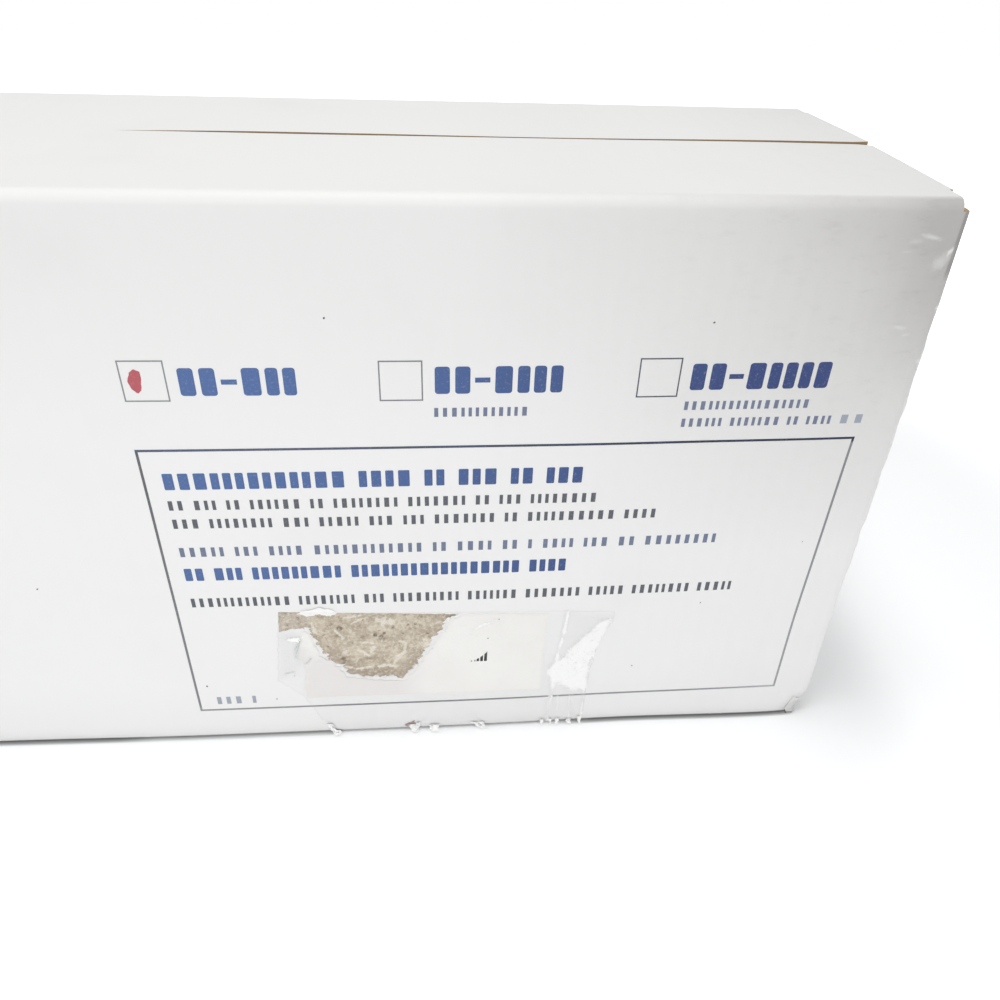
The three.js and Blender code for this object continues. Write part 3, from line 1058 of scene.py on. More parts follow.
tear = {
    "step": 0.42,
    "depth": 0.62,
    "uneven": 0.42,
    "feather": 0.12,  # depth to which the ragged edges thin out
    "featherReach": 1.8,
    "squareAbove": 57,  # the upper edge was cut by the label, so it keeps its full depth
    # x and z of each corner, and how ragged the side after it is
    "outline": [
        (-33.2, 64.2, 0.05), (-11, 62.9, 0.12), (30, 60.6, 0.3), (25.6, 58.4, 0.8), (24.4, 55.4, 1.2),
        (21.5, 50.5, 1.6), (18.8, 45, 1.8), (15.6, 41, 1.8), (14.5, 36.6, 1.6), (10.9, 32, 1.2),
        (8.4, 28.8, 0.6), (4.4, 29.9, 1.0), (-3.9, 30.6, 1.1), (-11.5, 32.6, 1.2), (-14, 37.2, 1.6),
        (-18.4, 42, 1.6), (-20.9, 46.5, 1.3), (-22.4, 52.6, 0.9), (-24, 55.8, 0.6), (-28.9, 56.2, 0.5),
        (-34.1, 54.6, 0.05),
    ],
    # curled fibres: both ends, breadth and height
    "curls": [
        (10.4, 46.8, 9.6, 42, 0.4, 0.5), (9.6, 42, 5.4, 37, 0.45, 0.55),
        (-11, 60.4, -5.2, 61, 0.35, 0.5), (-8.4, 57.4, -4.2, 59.6, 0.3, 0.4),
        (-14.2, 54.4, -11.8, 50.2, 0.5, 0.5), (-21, 52, -22.4, 58, 0.3, 0.4),
        (-6.6, 43.4, -3, 41.2, 0.35, 0.3), (-4.6, 47.8, -1.4, 46.6, 0.3, 0.3),
        (17.6, 47.6, 18.4, 43.6, 0.6, 0.5), (0.6, 58.8, 5.8, 57.4, 0.9, 0.5),
        (2.2, 56.6, 3.4, 59.6, 0.6, 0.5), (-15, 36.8, -10, 35.2, 0.4, 0.25),
        (-7.4, 34.6, -3, 35.4, 0.4, 0.25), (0, 35.6, 6.4, 35.2, 0.4, 0.25),
        (-2.6, 42.6, -0.6, 45, 0.3, 0.3),
    ],
    # pits, darkened with painted shade: middle and reach
    "pits": [
        (-13, 54.8, 1.3), (-0.4, 51.2, 0.9), (1.6, 50.2, 0.9), (2.8, 51.8, 0.7), (3.4, 58.6, 0.8),
        (14.2, 56, 0.6), (16.4, 59.2, 0.5), (-12.4, 39.6, 1.1), (-20, 44.8, 0.8), (18.4, 50.6, 0.7),
        (1, 53.4, 0.5), (6, 54.6, 0.5),
    ],
    "bandReach": 5.6,  # a darker ply shows along the lower rim, below this height, and painted shadow lies along the upper edge, in the corners above this one
    "bandBelow": 46,  # below this height,
    "bandAbove": 56,  # and in the corners above this one
    "cutterHead": 6,  # the cutter stands out this far in front of the wall
    # noise: its scale along x, its seed and its scale along z
    "rough": (0.3, 9.0, 0.34),
    "plies": (0.13, 4.0, 0.17),
    "waves": (0.2, 1.0, 0.24),
    "ripples": (1, 6.0, 1),
    "ridges": (0.12, 8.0, 0.12),
    "frayedBand": (0.3, 2.0, 0.3),
    # how much each of them lifts the paper, or lightens it with painted light
    "roughRise": 0.55,
    "plyFall": 0.8,
    "level": 0.25,
    "crestRise": 0.5,
    "crestWidth": 0.07,
    "curlRise": 1.8,
    "curlSpread": 1.25,
    "pitFall": 0.6,
    "roughLight": 0.32,
    "crestLight": 0.3,
    "spotLight": 0.75,  # painted light on a curl, and painted shade lost in a pit
    # scale, detail and roughness of each grain
    "blots": (0.2, 6.0, 0.72),
    "fibres": (1.1, 5.0, 0.75),
    "flecks": (0.75, 5.0, 0.8),
    # colours of the paper, of what lies over it, and of the painted highlights and shade on its relief
    "paper": (195, 181, 161),
    "pale": (223, 211, 191),
    "rosy": (200, 181, 165),
    "darkPlyAndEdgeShadow": (180, 165, 148),
    "strip": (211, 201, 188),
    "pitShade": (140, 124, 106),
    "crest": (244, 237, 224),
    "fleck": (238, 231, 218),
    "darkFleck": (152, 138, 121),
    "fibre": (160, 145, 128),
}


def tornPaper():
    paint = Paint("tornPaper", {"Roughness": 0.93, "Specular IOR Level": 0.2})
    light, darkPlyAndEdgeShadow = paint.attribute("tornPaintedLight"), paint.attribute("tornPlyAndShadow")
    blots = paint.grain(*tear["blots"])
    fibres = paint.grain(*tear["fibres"], stretch=(1, 1, 1.7))
    flecks = paint.grain(*tear["flecks"], at=paint.moved(31, 7, 12))
    base = paint.over(screen(*tear["paper"]), paint.step(blots, 0.42, 0.58), tear["pale"])
    layers = {
        "rosy": paint.step(paint.x, -10, -20) * paint.step(paint.z, 60, 52) * 0.3,
        "darkPlyAndEdgeShadow": darkPlyAndEdgeShadow * 0.8,
        "strip": paint.step(paint.x, -21, -24) * 0.6,
        # painted shade in the pits and painted highlight on the crests, both from the relief
        "pitShade": paint.step(light, 0.42, 0.08),
        "crest": paint.step(light, 0.58, 0.9) * 0.9,
        "fleck": paint.step(flecks, 0.53, 0.59) * 0.6,
        "darkFleck": paint.step(flecks, 0.45, 0.39) * 0.45,
        "fibre": paint.step(fibres, 0.5, 0.7) * 0.3,
    }
    for name, factor in layers.items():
        base = paint.over(base, factor, tear[name])
    paint.feed("Base Color", base)
    paint.relief(fibres * 0.4 + blots * 0.3 + flecks * 0.3, 0.7)
    return paint


torn = tornPaper()
tearEdge = fringed(tear["outline"], 2.0)
tearTree = nearestOn(tearEdge)


def fromTear(x, z):
    # distance to the torn outline
    return tearTree.find((x, 0, z))[2]


def tornForm(x, z):
    # how far the torn paper stands off its mean level, and how light it is, from 0 to 1; the lightness is
    # painted light and shade that follow the relief
    scaleX, seed, scaleZ = tear["rough"]
    rough = noise.fractal(Vector((x * scaleX, seed, z * scaleZ)), 0.6, 2.0, 6)
    ply = abs(unevenness(x, z, *tear["plies"]))  # plies that came away in steps
    wavy = unevenness(x, z, *tear["waves"]) + 0.2 * unevenness(x, z, *tear["ripples"])
    crest = max(0, 1 - abs(wavy) / tear["crestWidth"]) * smooth(unevenness(x, z, *tear["ridges"]) * 3)
    rise = tear["roughRise"] * rough - tear["plyFall"] * ply + tear["level"] + tear["crestRise"] * crest
    light = 0.5 + tear["roughLight"] * rough + tear["crestLight"] * crest
    for curl in tear["curls"]:
        breadth, height = curl[4:]
        away = nearLine(x + rough * 0.6, z + wavy, curl) / breadth / tear["curlSpread"]
        near = math.exp(-away ** 2)
        rise += near * height * tear["curlRise"]
        light += near * tear["spotLight"]
    for pitX, pitZ, reach in tear["pits"]:
        near = math.exp(-((x - pitX) ** 2 + (z - pitZ) ** 2) / reach ** 2) * (0.7 + rough)
        rise -= near * tear["pitFall"]
        light -= near * tear["spotLight"]
    return rise, light


def tearDepth(x, z, rim):
    full = tear["depth"] - tear["uneven"] * tornForm(x, z)[0]
    share = max(smooth(rim / tear["featherReach"]), smooth((z - tear["squareAbove"]) / 3))
    return max(tear["feather"], tear["feather"] + (full - tear["feather"]) * share)


def shadeTear(mesh):
    # tells the torn paper's material its painted light and shade, which follow the relief, where the
    # darker ply shows, and where painted shadow lies below the upper edge
    light = mesh.attributes.new("tornPaintedLight", "FLOAT", "POINT").data
    darkPlyAndEdgeShadow = mesh.attributes.new("tornPlyAndShadow", "FLOAT", "POINT").data
    lowX, highX = min(spot.x for spot in tearEdge), max(spot.x for spot in tearEdge)
    lowZ, highZ = min(spot.y for spot in tearEdge), max(spot.y for spot in tearEdge)
    for v in mesh.vertices:
        x, y, z = v.co / mm
        outside = not (lowX - 1 < x < highX + 1 and lowZ - 1 < z < highZ + 1)
        if outside or y > -halfDepth + boardThick:
            continue
        reach = fromTear(x, z) + 2.2 * unevenness(x, z, *tear["frayedBand"])
        light[v.index].value = tornForm(x, z)[1]
        low = smooth(1.6 - reach / tear["bandReach"] * 1.6) * smooth((tear["bandBelow"] - z) / 8)
        high = smooth(1.3 - fromTear(x, z)) * smooth((z - tear["bandAbove"]) / 4)
        darkPlyAndEdgeShadow[v.index].value = max(low, high)


def tearLiner(wall):
    # cuts the torn place out of the front wall, to the uneven brown paper below
    bm, rim = patch(tearEdge, tear["step"])
    for v in bm.verts:
        v.co.y = tearDepth(v.co.x, v.co.z, v[rim])
    for v in vertsOf(bmesh.ops.extrude_face_region(bm, geom=bm.faces[:])["geom"]):
        v.co.y = -tear["cutterHead"]
    bmesh.ops.recalc_face_normals(bm, faces=bm.faces)
    drape(bm)
    cutter = finished("tearCutter", bm, [torn], None)
    cut = wall.modifiers.new("tear", "BOOLEAN")
    cut.operation = "DIFFERENCE"
    cut.solver = "EXACT"
    cut.material_mode = "TRANSFER"
    cut.object = cutter
    applied(wall)
    shadeTear(wall.data)
    bpy.data.objects.remove(cutter)


tearLiner(cartonWalls)
print("liner torn")


label = {
    "step": 0.9,
    "thick": 0.11,
    "standOff": 0.02,
    "lift": 0.14,  # how far its torn edge curls up,
    "curlReach": 2.2,  # this far in from the edge
    "tornBelow": 30,  # x below which its edge is torn
    "tornAbove": 24,  # and z above which it is
    "outline": [
        (31.8, 60.6, 0.05), (61.8, 59.4, 0.05), (61.4, 20, 0.05), (-27.6, 20.4, 0.3), (-27.8, 26, 0.5),
        (-27, 33, 1.0), (-28, 47, 0.8), (-25.6, 55, 1.0), (-23.4, 52.8, 1.3), (-21.6, 44.8, 1.6),
        (-16.2, 37.4, 1.6), (-12.6, 31.6, 1.2), (-3.4, 29, 0.9), (8.8, 27.4, 0.8), (12.6, 31.6, 1.2),
        (16.4, 38, 1.6), (20.6, 46, 1.6), (24.4, 52.4, 1.2), (26.8, 57.6, 0.6),
    ],
    "greyedBy": 0.85,
    "faint": 0.2,  # strength of its edge and its fibres
    "edgeReach": (1.2, 0.1),
    "fibreFrom": (0.5, 0.8),
    "relief": 0.04,
    "inkDepth": 0.04,
    "barFoot": 36.6,
    # x of each printed bar, its width and its height
    "bars": [(34.4, 0.5, 0.5), (35.7, 0.5, 0.7), (36.8, 0.9, 1.5), (38.2, 1.1, 2.7), (39.7, 1.1, 4.4)],
    # how far each bar's upper corners lean over, and how much they rise or fall
    "barRight": (0.1, 0.12),
    "barLeft": (0.15, -0.2),
    "paper": (247, 246, 243),
    "paperWarm": (244, 242, 239),
    "greyed": (234, 230, 228),
    "greyedFrom": ((20, 4), (50, 36)),
    "edge": (232, 228, 222),
    "fibre": (230, 227, 221),
}


def labelPaper():
    paint = Paint("labelPaper", {"Roughness": 0.55, "Specular IOR Level": 0.35})
    fibres = paint.grain(1.2, 4.0, 0.65)
    warm = paint.step(paint.grain(0.03, 2.0, 0.5), 0.35, 0.7)
    base = paint.over(screen(*label["paper"]), warm, label["paperWarm"])
    along, up = label["greyedFrom"]
    worn = paint.step(paint.x, *along) * paint.step(paint.z, *up)
    base = paint.over(base, worn * label["greyedBy"], label["greyed"])
    edge = paint.step(paint.attribute("rim"), *label["edgeReach"])
    base = paint.over(base, edge * label["faint"], label["edge"])
    fibre = paint.step(fibres, *label["fibreFrom"])
    paint.feed("Base Color", paint.over(base, fibre * label["faint"], label["fibre"]))
    paint.relief(fibres, label["relief"])
    return paint


labelWhite = labelPaper()


def makeLabel():
    bm, rim = patch(fringed(label["outline"], 6.0), label["step"])
    for v in bm.verts:
        x, _, z = v.co
        tornSide = smooth((label["tornBelow"] - x) / 4) * smooth((z - label["tornAbove"]) / 4)
        curl = smooth(1 - v[rim] / label["curlReach"]) * tornSide
        ripple = 0.5 + unevenness(x, z, 0.35, 2.0, 0.35)
        v.co.y -= label["lift"] * curl * max(0, ripple)
    drape(bm, label["standOff"])
    piece = finished(
        "labelRemnant", bm, [labelWhite], "carton", ["label_remnant"])
    return thicken(piece, label["thick"], offset=1)


makeLabel()


def drawBars(bm):
    for x, width, height in label["bars"]:
        part = bmesh.new()
        middle = (x, 0, label["barFoot"] + height / 2)
        bmesh.ops.create_cube(part, size=1, matrix=sized(width, label["inkDepth"], height, middle))
        head = [v for v in part.verts if v.co.z > middle[2]]
        for side, (lean, rise) in ((1, label["barRight"]), (-1, label["barLeft"])):
            corner = [v for v in head if (v.co.x - x) * side > 0]
            bmesh.ops.translate(part, verts=corner, vec=(lean, 0, height * rise))
        add(bm, part)
    bmesh.ops.translate(bm, verts=bm.verts, vec=(0, -label["thick"] - label["standOff"], 0))


printPiece("labelBars", blackInk, drawBars)

linerWhite = Paint("peeledWhite", {"Base Color": screen(251, 251, 250), "Specular IOR Level": 0.3})
linerWhite.feed("Roughness", 0.5 + linerWhite.grain(1.2, 3.0, 0.6) * 0.3)

slips = {
    "every": 0.8,  # spacing along the torn edge
    "missing": 0.45,  # share of the places without a slip
    "below": 57.5,  # none along the cut upper edge,
    "rightOf": -27,  # nor at the far left
    "width": (0.5, 2.4),
    "length": (0.6, 2.2),
    "taper": 0.8,
    "lift": (0.05, 0.4),
    "curlOver": 2.6,
    "curlRim": 0.8,
    "uneven": 0.03,
    "swing": 0.7,  # how far a slip's heading leaves the way inward, in radians
    "standOff": 0.05,
    "thick": 0.09,
    # a larger curl of liner that hangs over the tear's upper edge
    "curlOutline": [
        (-27.4, 63.2, 0.5), (-24.6, 64.8, 0.9), (-18.5, 65.6, 0.9), (-14.6, 65, 0.8), (-13, 63, 0.6),
        (-15.4, 61.7, 0.9), (-19, 62.6, 0.8), (-22.6, 61.9, 0.8),
    ],
    "curlStep": 0.5,
    "curlLift": 0.4,
    "curlFrom": 63,  # height from which it lifts
    # liner that came loose over the crushed corner of the foot
    "cornerOutline": [
        (164.2, 5.6, 0.5), (165.8, 9.4, 0.4), (168.9, 7.9, 0.7), (167, 6.2, 0.9), (166.7, 3.2, 0.9),
        (168, 0.6, 0.9), (166.4, 0.4, 0.9), (164.2, 0.4, 0.8), (163.4, 2.4, 0.6),
    ],
    "cornerStep": 0.4,
    "cornerLift": 0.3,
}


def makeSlips():
    # slivers of white paper along the ragged edges of the tear
    rng = random.Random(11)
    bm = bmesh.new()
    middle = sum(tearEdge, Vector((0, 0))) / len(tearEdge)
    for spot in tearEdge[::max(1, round(slips["every"] / fringe["every"]))]:
        if spot.y > slips["below"] or spot.x < slips["rightOf"] or rng.random() < slips["missing"]:
            continue
        part = bmesh.new()
        width, length = rng.uniform(*slips["width"]), rng.uniform(*slips["length"])
        bmesh.ops.create_grid(
            part, x_segments=4, y_segments=2, size=1, matrix=sized(length / 2, width / 2, 1))
        lift = rng.uniform(*slips["lift"])
        for v in part.verts:
            share = v.co.x / length + 0.5
            v.co.y *= 1 - slips["taper"] * share
            v.co.z = lift * share * share + rng.uniform(-slips["uneven"], slips["uneven"])
        inward = (middle - spot).normalized()
        heading = math.atan2(inward.y, inward.x) + rng.uniform(-slips["swing"], slips["swing"])
        turn = Matrix.Rotation(heading, 4, "Z")
        stand = Matrix.Rotation(math.pi / 2, 4, "X")
        place = Matrix.Translation((spot.x, -slips["standOff"], spot.y))
        bmesh.ops.transform(part, matrix=place @ stand @ turn, verts=part.verts)
        add(bm, part)
    drape(bm)
    thicken(finished("paperSlips", bm, [labelWhite], "carton"), slips["thick"])


def makeLooseLiner(name, paint, outline, seed, step, lift):
    # lift gives how far a point of the loose liner stands off, from its place and distance to the rim
    bm, rim = patch(fringed(slips[outline], seed), slips[step])
    for v in bm.verts:
        v.co.y -= lift(v.co, v[rim]) + slips["standOff"]
    drape(bm)
    thicken(finished(name, bm, [paint], "carton"), slips["thick"], offset=1)


def curled(co, rim):
    fold = smooth((co.z - slips["curlFrom"]) / slips["curlOver"])
    fold += smooth(1 - rim / slips["curlRim"]) * 0.3
    return slips["curlLift"] * fold * (0.7 + noise.noise(co * 0.4))


def loosened(co, _):
    free = 1.2 - smooth((co.z - 2) / 5)
    return slips["cornerLift"] * free * (0.4 + 1.2 * abs(noise.noise(co * 0.5)))


makeSlips()
makeLooseLiner("peeledLiner", linerWhite, "curlOutline", 8.0, "curlStep", curled)
makeLooseLiner("cornerLiner", white, "cornerOutline", 4.0, "cornerStep", loosened)
print("label and paper slips made")


tape = {
    "step": 0.56,
    "thick": 0.05,
    "standOff": 0.2,
    "overEdge": 0.3,  # how far it stands up where it crosses the ragged tear
    "outline": [
        (-33.4, 64.2, 0.05), (70, 60.4, 0.1), (86.5, 59.2, 0.15), (86.7, 55, 0.3), (82.5, 45, 0.3),
        (80.2, 29, 0.4), (79.4, 3, 0.2), (79, -5, 0.4), (-20, -5, 0.4), (-21, 3, 0.2),
        (-28.6, 21.3, 0.5), (-37.2, 30.4, 0.6), (-34.6, 54, 0.2),
    ],
    # start and end of each crease, its width, its height and how white it is; below 0 it is how grey it
    # is, as painted shade in the crease
    "creases": [
        (69.4, 61.2, 68.5, 49.8, 0.8, 0.06, 1.6), (68.5, 49.8, 66.6, 36.2, 0.7, 0.06, 1.4),
        (66.6, 36.2, 66.2, 20.7, 0.8, 0.05, 0.9), (66.2, 20.7, 65.4, -2, 0.9, 0.05, 0.5),
        (68.4, 22, 69.2, -2, 0.5, 0.05, 0.7), (78.6, 22, 79, 0, 0.6, 0.05, 0.8),
        (73.2, 16, 74, -2, 0.5, 0.05, 0.5), (-31.2, 51, -28, 50.3, 0.9, 0.08, 1.5),
        (-27.2, 50.8, -28.8, 46.2, 0.5, 0.1, -0.45), (-28.8, 46.2, -29.4, 41.6, 0.5, 0.08, -0.3),
        (-26, 38.8, -24.2, 41.2, 0.45, 0.08, -0.35), (-34, 33.8, -31.2, 34.4, 0.5, 0.08, -0.3),
        (61.2, 42, 61.6, 29, 0.4, 0.03, 0.4), (33.9, 50.7, 37.4, 54.6, 0.6, 0.06, 0.8),
        (37.4, 54.6, 43.4, 57.2, 0.6, 0.06, 1.0), (24, 52.4, 25.6, 58.6, 0.9, 0.05, 0.7),
        (25.6, 58.6, 30, 60.6, 0.8, 0.05, 0.7), (18, 33.6, 24.4, 37.6, 0.5, 0.04, 0.5),
        (-30.4, 51.2, -26, 51.8, 0.6, 0.1, 1.1), (-26.4, 37.6, -19, 38.8, 0.5, 0.05, 0.8),
        (-22.5, 7, -18, -1.6, 0.6, 0.08, 1.0), (-34.6, 54, -28.6, 56.4, 0.5, 0.04, 0.5),
        (34.4, 7.6, 41, -1, 1.4, 0.06, 0.6), (28, 7.4, 34, 2.4, 0.6, 0.05, 0.5),
        (-9, 3.6, 4.4, 2.2, 0.6, 0.05, 0.5),
    ],
    # corners of each blister, its whiteness, its dullness, its height, and how soft its outline is; the
    # first blister's whiteness is trapped air and a painted highlight where the film catches the light
    "blisters": [
        ([(85.2, 55.4), (83, 45.3), (79.2, 31.6), (78.9, 20.7), (74, 20.2), (68, 22.4), (64.6, 29.8),
          (68, 35.6), (82, 54.6)], 1.45, 0, 0.06, 3.6),
        ([(71, 22), (78.8, 22), (79, 1), (71, 1)], 0.28, 0, 0.03, 3),
        ([(62.6, 34), (67.2, 30), (67, 1), (62.6, 1)], 0.3, 0, 0.03, 2.5),
        ([(-14, -1), (60, -1), (60, -5), (-14, -5)], 0.4, 0, 0.0, 2),
        ([(70, 60), (84, 58.6), (80, 52), (74, 45), (69, 38)], 0.0, 0.03, 0.1, 2.5),
        ([(-34.4, 54.6), (-29, 55), (-25.6, 49), (-27.4, 38), (-31, 32.4), (-36.4, 31)],
         0.0, 0.07, 0.12, 2.5),
        ([(-29.6, 49), (-27, 47), (-28.4, 40), (-30, 43)], 0.0, 0.07, 0.06, 1.4),
    ],
    # grey of dull film and of the painted shade in creases
    "grey": (208, 211, 209),
    "white": (254, 254, 253),
    # scale, detail and roughness of each grain, and how much the bubbles swing about the haze
    "scratches": (0.5, 5.0, 0.7),
    "bubbles": ((2.6, 2.0, 0.6), 2.6),
    "bubbleClouds": ((0.5, 3.0, 0.6), 0.8),
    "bubbleEdge": (0.5, 0.6),
    "cutReach": (0.8, 0.1),
    "scratchFrom": (0.45, 0.8),
    "roughness": 0.18,
    "hazeRough": 0.3,
    "relief": 0.03,
    "wrinkle": 0.1,
    "wrinkleScale": 0.11,
    "blisterBuild": 7,
    "flatBelow": 1,  # height at which it lies flat,
    "flatFade": 5,  # and over which it starts to stand off
    "sheen": 0.02,  # alpha of clean film, of a scratch, of a bubble and of the cut edge
    "scratch": 0.03,
    "bubble": 0.96,
    "edge": 0.06,
}


def tapeFilm():
    # clear film: alpha carries the haze of trapped air and adhesive, whose white also stands in for the
    # film's gloss as a painted highlight
    paint = Paint("tapeFilm", {"Specular IOR Level": 0.4, "IOR": 1.47})
    haze, dullAndCreaseShade, rim = (paint.attribute(name) for name in ("haze", "dullAndCreaseShade", "rim"))
    scratches = paint.grain(*tape["scratches"], stretch=(0.6, 1, 1.6))
    edge = paint.step(rim, *tape["cutReach"])
    # film that is half clear greys what lies under it, so the haze is made of tiny white bubbles
    fine, broad = (
        (paint.grain(*grain) - 0.5) * swing for grain, swing in (tape["bubbles"], tape["bubbleClouds"]))
    # the white bubbles are haze and painted highlight
    bubble = paint.step(haze + (fine + broad), *tape["bubbleEdge"])
    paint.feed("Base Color", paint.over(screen(*tape["grey"]), bubble, tape["white"]))
    scratched = paint.step(scratches, *tape["scratchFrom"])
    film = tape["sheen"] + scratched * tape["scratch"] + dullAndCreaseShade
    paint.feed("Alpha", film + bubble * tape["bubble"] + edge * tape["edge"])
    paint.feed("Roughness", tape["roughness"] + haze * tape["hazeRough"])
    paint.relief(scratches, tape["relief"])
    return paint


clearTape = tapeFilm()
tapeBack = Paint("tapeBack", {"Alpha": 0.01, "Roughness": 0.3})  # the haze is all on the outer face


def wrapped(co):
    # carries what hangs below the foot of the panel round its fold and under the carton
    x, y, z = co
    radius = carton["fold"]
    if z >= radius:
        return co
    run = radius - z
    quarter = radius * math.pi / 2
    out = y  # distance off the board, counted inwards
    turn = min(run, quarter) / radius
    nearness = (radius - out) * squareness(turn)
    return Vector((
        x,
        radius - nearness * math.cos(turn) + max(0, run - quarter),
        radius - nearness * math.sin(turn)))


def makeTape():
    bm, _ = patch(fringed(tape["outline"], 3.0), tape["step"])
    haze, dullAndCreaseShade = bm.verts.layers.float.new("haze"), bm.verts.layers.float.new("dullAndCreaseShade")
    blisters = [
        ([Vector(corner) for corner in corners], *rest) for corners, *rest in tape["blisters"]]
    for v in bm.verts:
        x, _, z = v.co
        spot = Vector((x * tape["wrinkleScale"], 5.0, z * tape["wrinkleScale"]))
        height = tape["wrinkle"] * max(0, noise.fractal(spot, 0.9, 2.0, 4))
        cloud = 0.75 + 0.5 * unevenness(x, z, 0.3, 7.0, 0.3)
        whiteHazeAndHighlight = dullnessAndCreaseShade = 0
        for crease in tape["creases"]:
            width, rise, shineAndShade = crease[4:]
            near = math.exp(-(nearLine(x, z, crease) / width) ** 2)
            height += near * rise
            whiteHazeAndHighlight += near * max(0, shineAndShade) * cloud
            # a crease below 0 greys the film: painted shade in the crease
            dullnessAndCreaseShade += near * max(0, -shineAndShade)
        for corners, pale, grey, rise, soft in blisters:
            sides = zip(corners, corners[1:] + corners[:1])
            reach = min(nearLine(x, z, (*a, *b)) for a, b in sides)
            if not inside(corners, x, z):
                reach = -reach
            reach += 0.7 * unevenness(x, z, 0.3, 1.0, 0.3)
            share = smooth(reach / soft * 0.5 + 0.5)
            whiteHazeAndHighlight += pale * share
            dullnessAndCreaseShade += grey * share
            height += rise * smooth(reach / tape["blisterBuild"])
        v[haze], v[dullAndCreaseShade] = min(1, whiteHazeAndHighlight), min(1, dullnessAndCreaseShade)
        if z < tear["squareAbove"]:
            height += tape["overEdge"] * smooth(1 - fromTear(x, z) / 3)
        v.co.y = -tape["standOff"] - height * smooth((z - tape["flatBelow"]) / tape["flatFade"])
    for v in bm.verts:
        v.co = settled(wrapped(v.co) - Vector((0, halfDepth, 0)))
    piece = finished("clearTape", bm, [clearTape, tapeBack], "carton", ["clear_tape"])
    return thicken(piece, tape["thick"], 1, 1)


makeTape()

shreds = {
    "thick": 0.06,
    "across": 0.5,  # spacing of a strip's points across and along it
    "along": 0.4,
    "standOff": 0.45,
    "overFloor": 0.15,
    "haze": 0.8,
    "taper": 0.35,
    "ragged": 0.25,
    "turn": 2.4,  # length of the turn from the panel to the floor
    "lowest": 0.12,
    # middle, width, height where it leaves the panel, reach over the floor, slant and crumple
    "strips": [
        (-20.4, 2.4, 5.4, 1.5, 2.6, 0.1), (-17.4, 2.6, 1.6, 1.6, 0.4, 0.2),
        (11.6, 3.2, 3.2, 1.5, 1.2, 0.35), (14.0, 1.6, 4.2, 0.9, -0.6, 0.3),
        (20.2, 4.2, 2.6, 1.6, 0.2, 0.1), (37.0, 5.0, 3.0, 1.2, 3.2, 0.15),
        (63.0, 1.6, 2.4, 1.2, 0.4, 0.2), (66.4, 1.2, 2.6, 1.3, 0.2, 0.2),
        (69.4, 1.6, 2.6, 1.4, -0.4, 0.2), (73.6, 2.2, 2.0, 1.2, 0.6, 0.25),
        (78.2, 1.5, 3.2, 1.5, 0.3, 0.15),
    ],
    # what is left of a printed corner of the label, caught in the tape
    "stain": [(8.2, 2.2, 0.9), (9.6, 3.0, 0.9), (12.4, 4.9, 0.8), (12.6, 3.4, 0.9), (11, 1.6, 0.9)],
    "stainThick": 0.05,
}


def makeShreds():
    # ends of tape that hang over the foot of the panel and lie on the floor
    rng = random.Random(5)
    bm = bmesh.new()
    for middle, width, top, reach, slant, crumple in shreds["strips"]:
        part = bmesh.new()
        haze = part.verts.layers.float.new("haze")
        long = top + reach
        bmesh.ops.create_grid(
            part, x_segments=max(3, round(width / shreds["across"])),
            y_segments=round(long / shreds["along"]), size=1, matrix=sized(width / 2, long / 2, 1))
        seed = rng.uniform(0, 90)
        for v in part.verts:
            run = long / 2 - v.co.y
            ragged = shreds["ragged"] * noise.noise(Vector((seed, run, 1)))
            narrow = 1 - shreds["taper"] * run / long + ragged
            x = middle + v.co.x * narrow + slant * run / long
            bumps = crumple * noise.noise(Vector((x * 0.9, seed, run * 0.9)))
            curve = smooth((run - top + shreds["turn"] / 2) / shreds["turn"])
            away = shreds["standOff"] + max(0, run - top) + abs(bumps)
            lying = shreds["overFloor"] + abs(bumps) * 1.6
            height = max(shreds["lowest"], top - run) * (1 - curve) + lying * curve
            v.co = Vector((x, -away, height))
            v[haze] = shreds["haze"] + 0.35 * unevenness(x, run, 0.8, seed, 0.7)
        add(bm, part)
    settle(bm, (0, halfDepth, 0))
    piece = finished("tapeShreds", bm, [clearTape, tapeBack], "carton")
    thicken(piece, shreds["thick"], 1, 1)
    stain, _ = patch(fringed(shreds["stain"], 1.0), shreds["along"])
    drape(stain, label["standOff"] + label["thick"])
    thicken(finished("labelScrap", stain, [scrapInk], "carton"), shreds["stainThick"])


makeShreds()

specks = {
    "size": (0.45, 0.95),
    "thick": 0.12,
    "standOff": 0.02,
    "onTape": 0.36,  # and on the tape, whose x and z these are
    "tape": ((-35, 85), (0, 64)),
    "places": [
        (44.2, 57.7), (-38.8, 20.2), (-30.9, 32.6), (40.4, 48.4), (-63.2, 28.4), (118.2, 61.5),
        (-110.4, 77), (150.6, 88.3), (96.4, 30.4), (-8.2, 172.6), (103.3, 170.8),
    ],
}


def drawSpecks(bm):
    # grains of dirt
    rng = random.Random(3)
    (lowX, highX), (lowZ, highZ) = specks["tape"]
    for x, z in specks["places"]:
        size = rng.uniform(*specks["size"])
        place = Matrix.Translation((x, 0, z)) @ Matrix.Rotation(rng.uniform(0, 3), 4, "Y")
        part = bmesh.new()
        bmesh.ops.create_icosphere(
            part, subdivisions=2, radius=0.5,
            matrix=place @ sized(size, specks["thick"], size * rng.uniform(0.4, 0.9)))
        for v in part.verts:
            v.co += Vector((0.06, 0, 0.06)) * noise.noise(v.co * 3)
        onTape = lowZ < z < highZ and lowX < x < highX
        standOff = specks["onTape"] if onTape else specks["standOff"]
        bmesh.ops.translate(part, verts=part.verts, vec=(0, -standOff, 0))
        add(bm, part)


printPiece("dirtSpecks", dirt, drawSpecks)
print("tape, shreds and specks made")


# racks: a tub, a deck with 96 seats, its tips, and a lid; built once and set down eight times

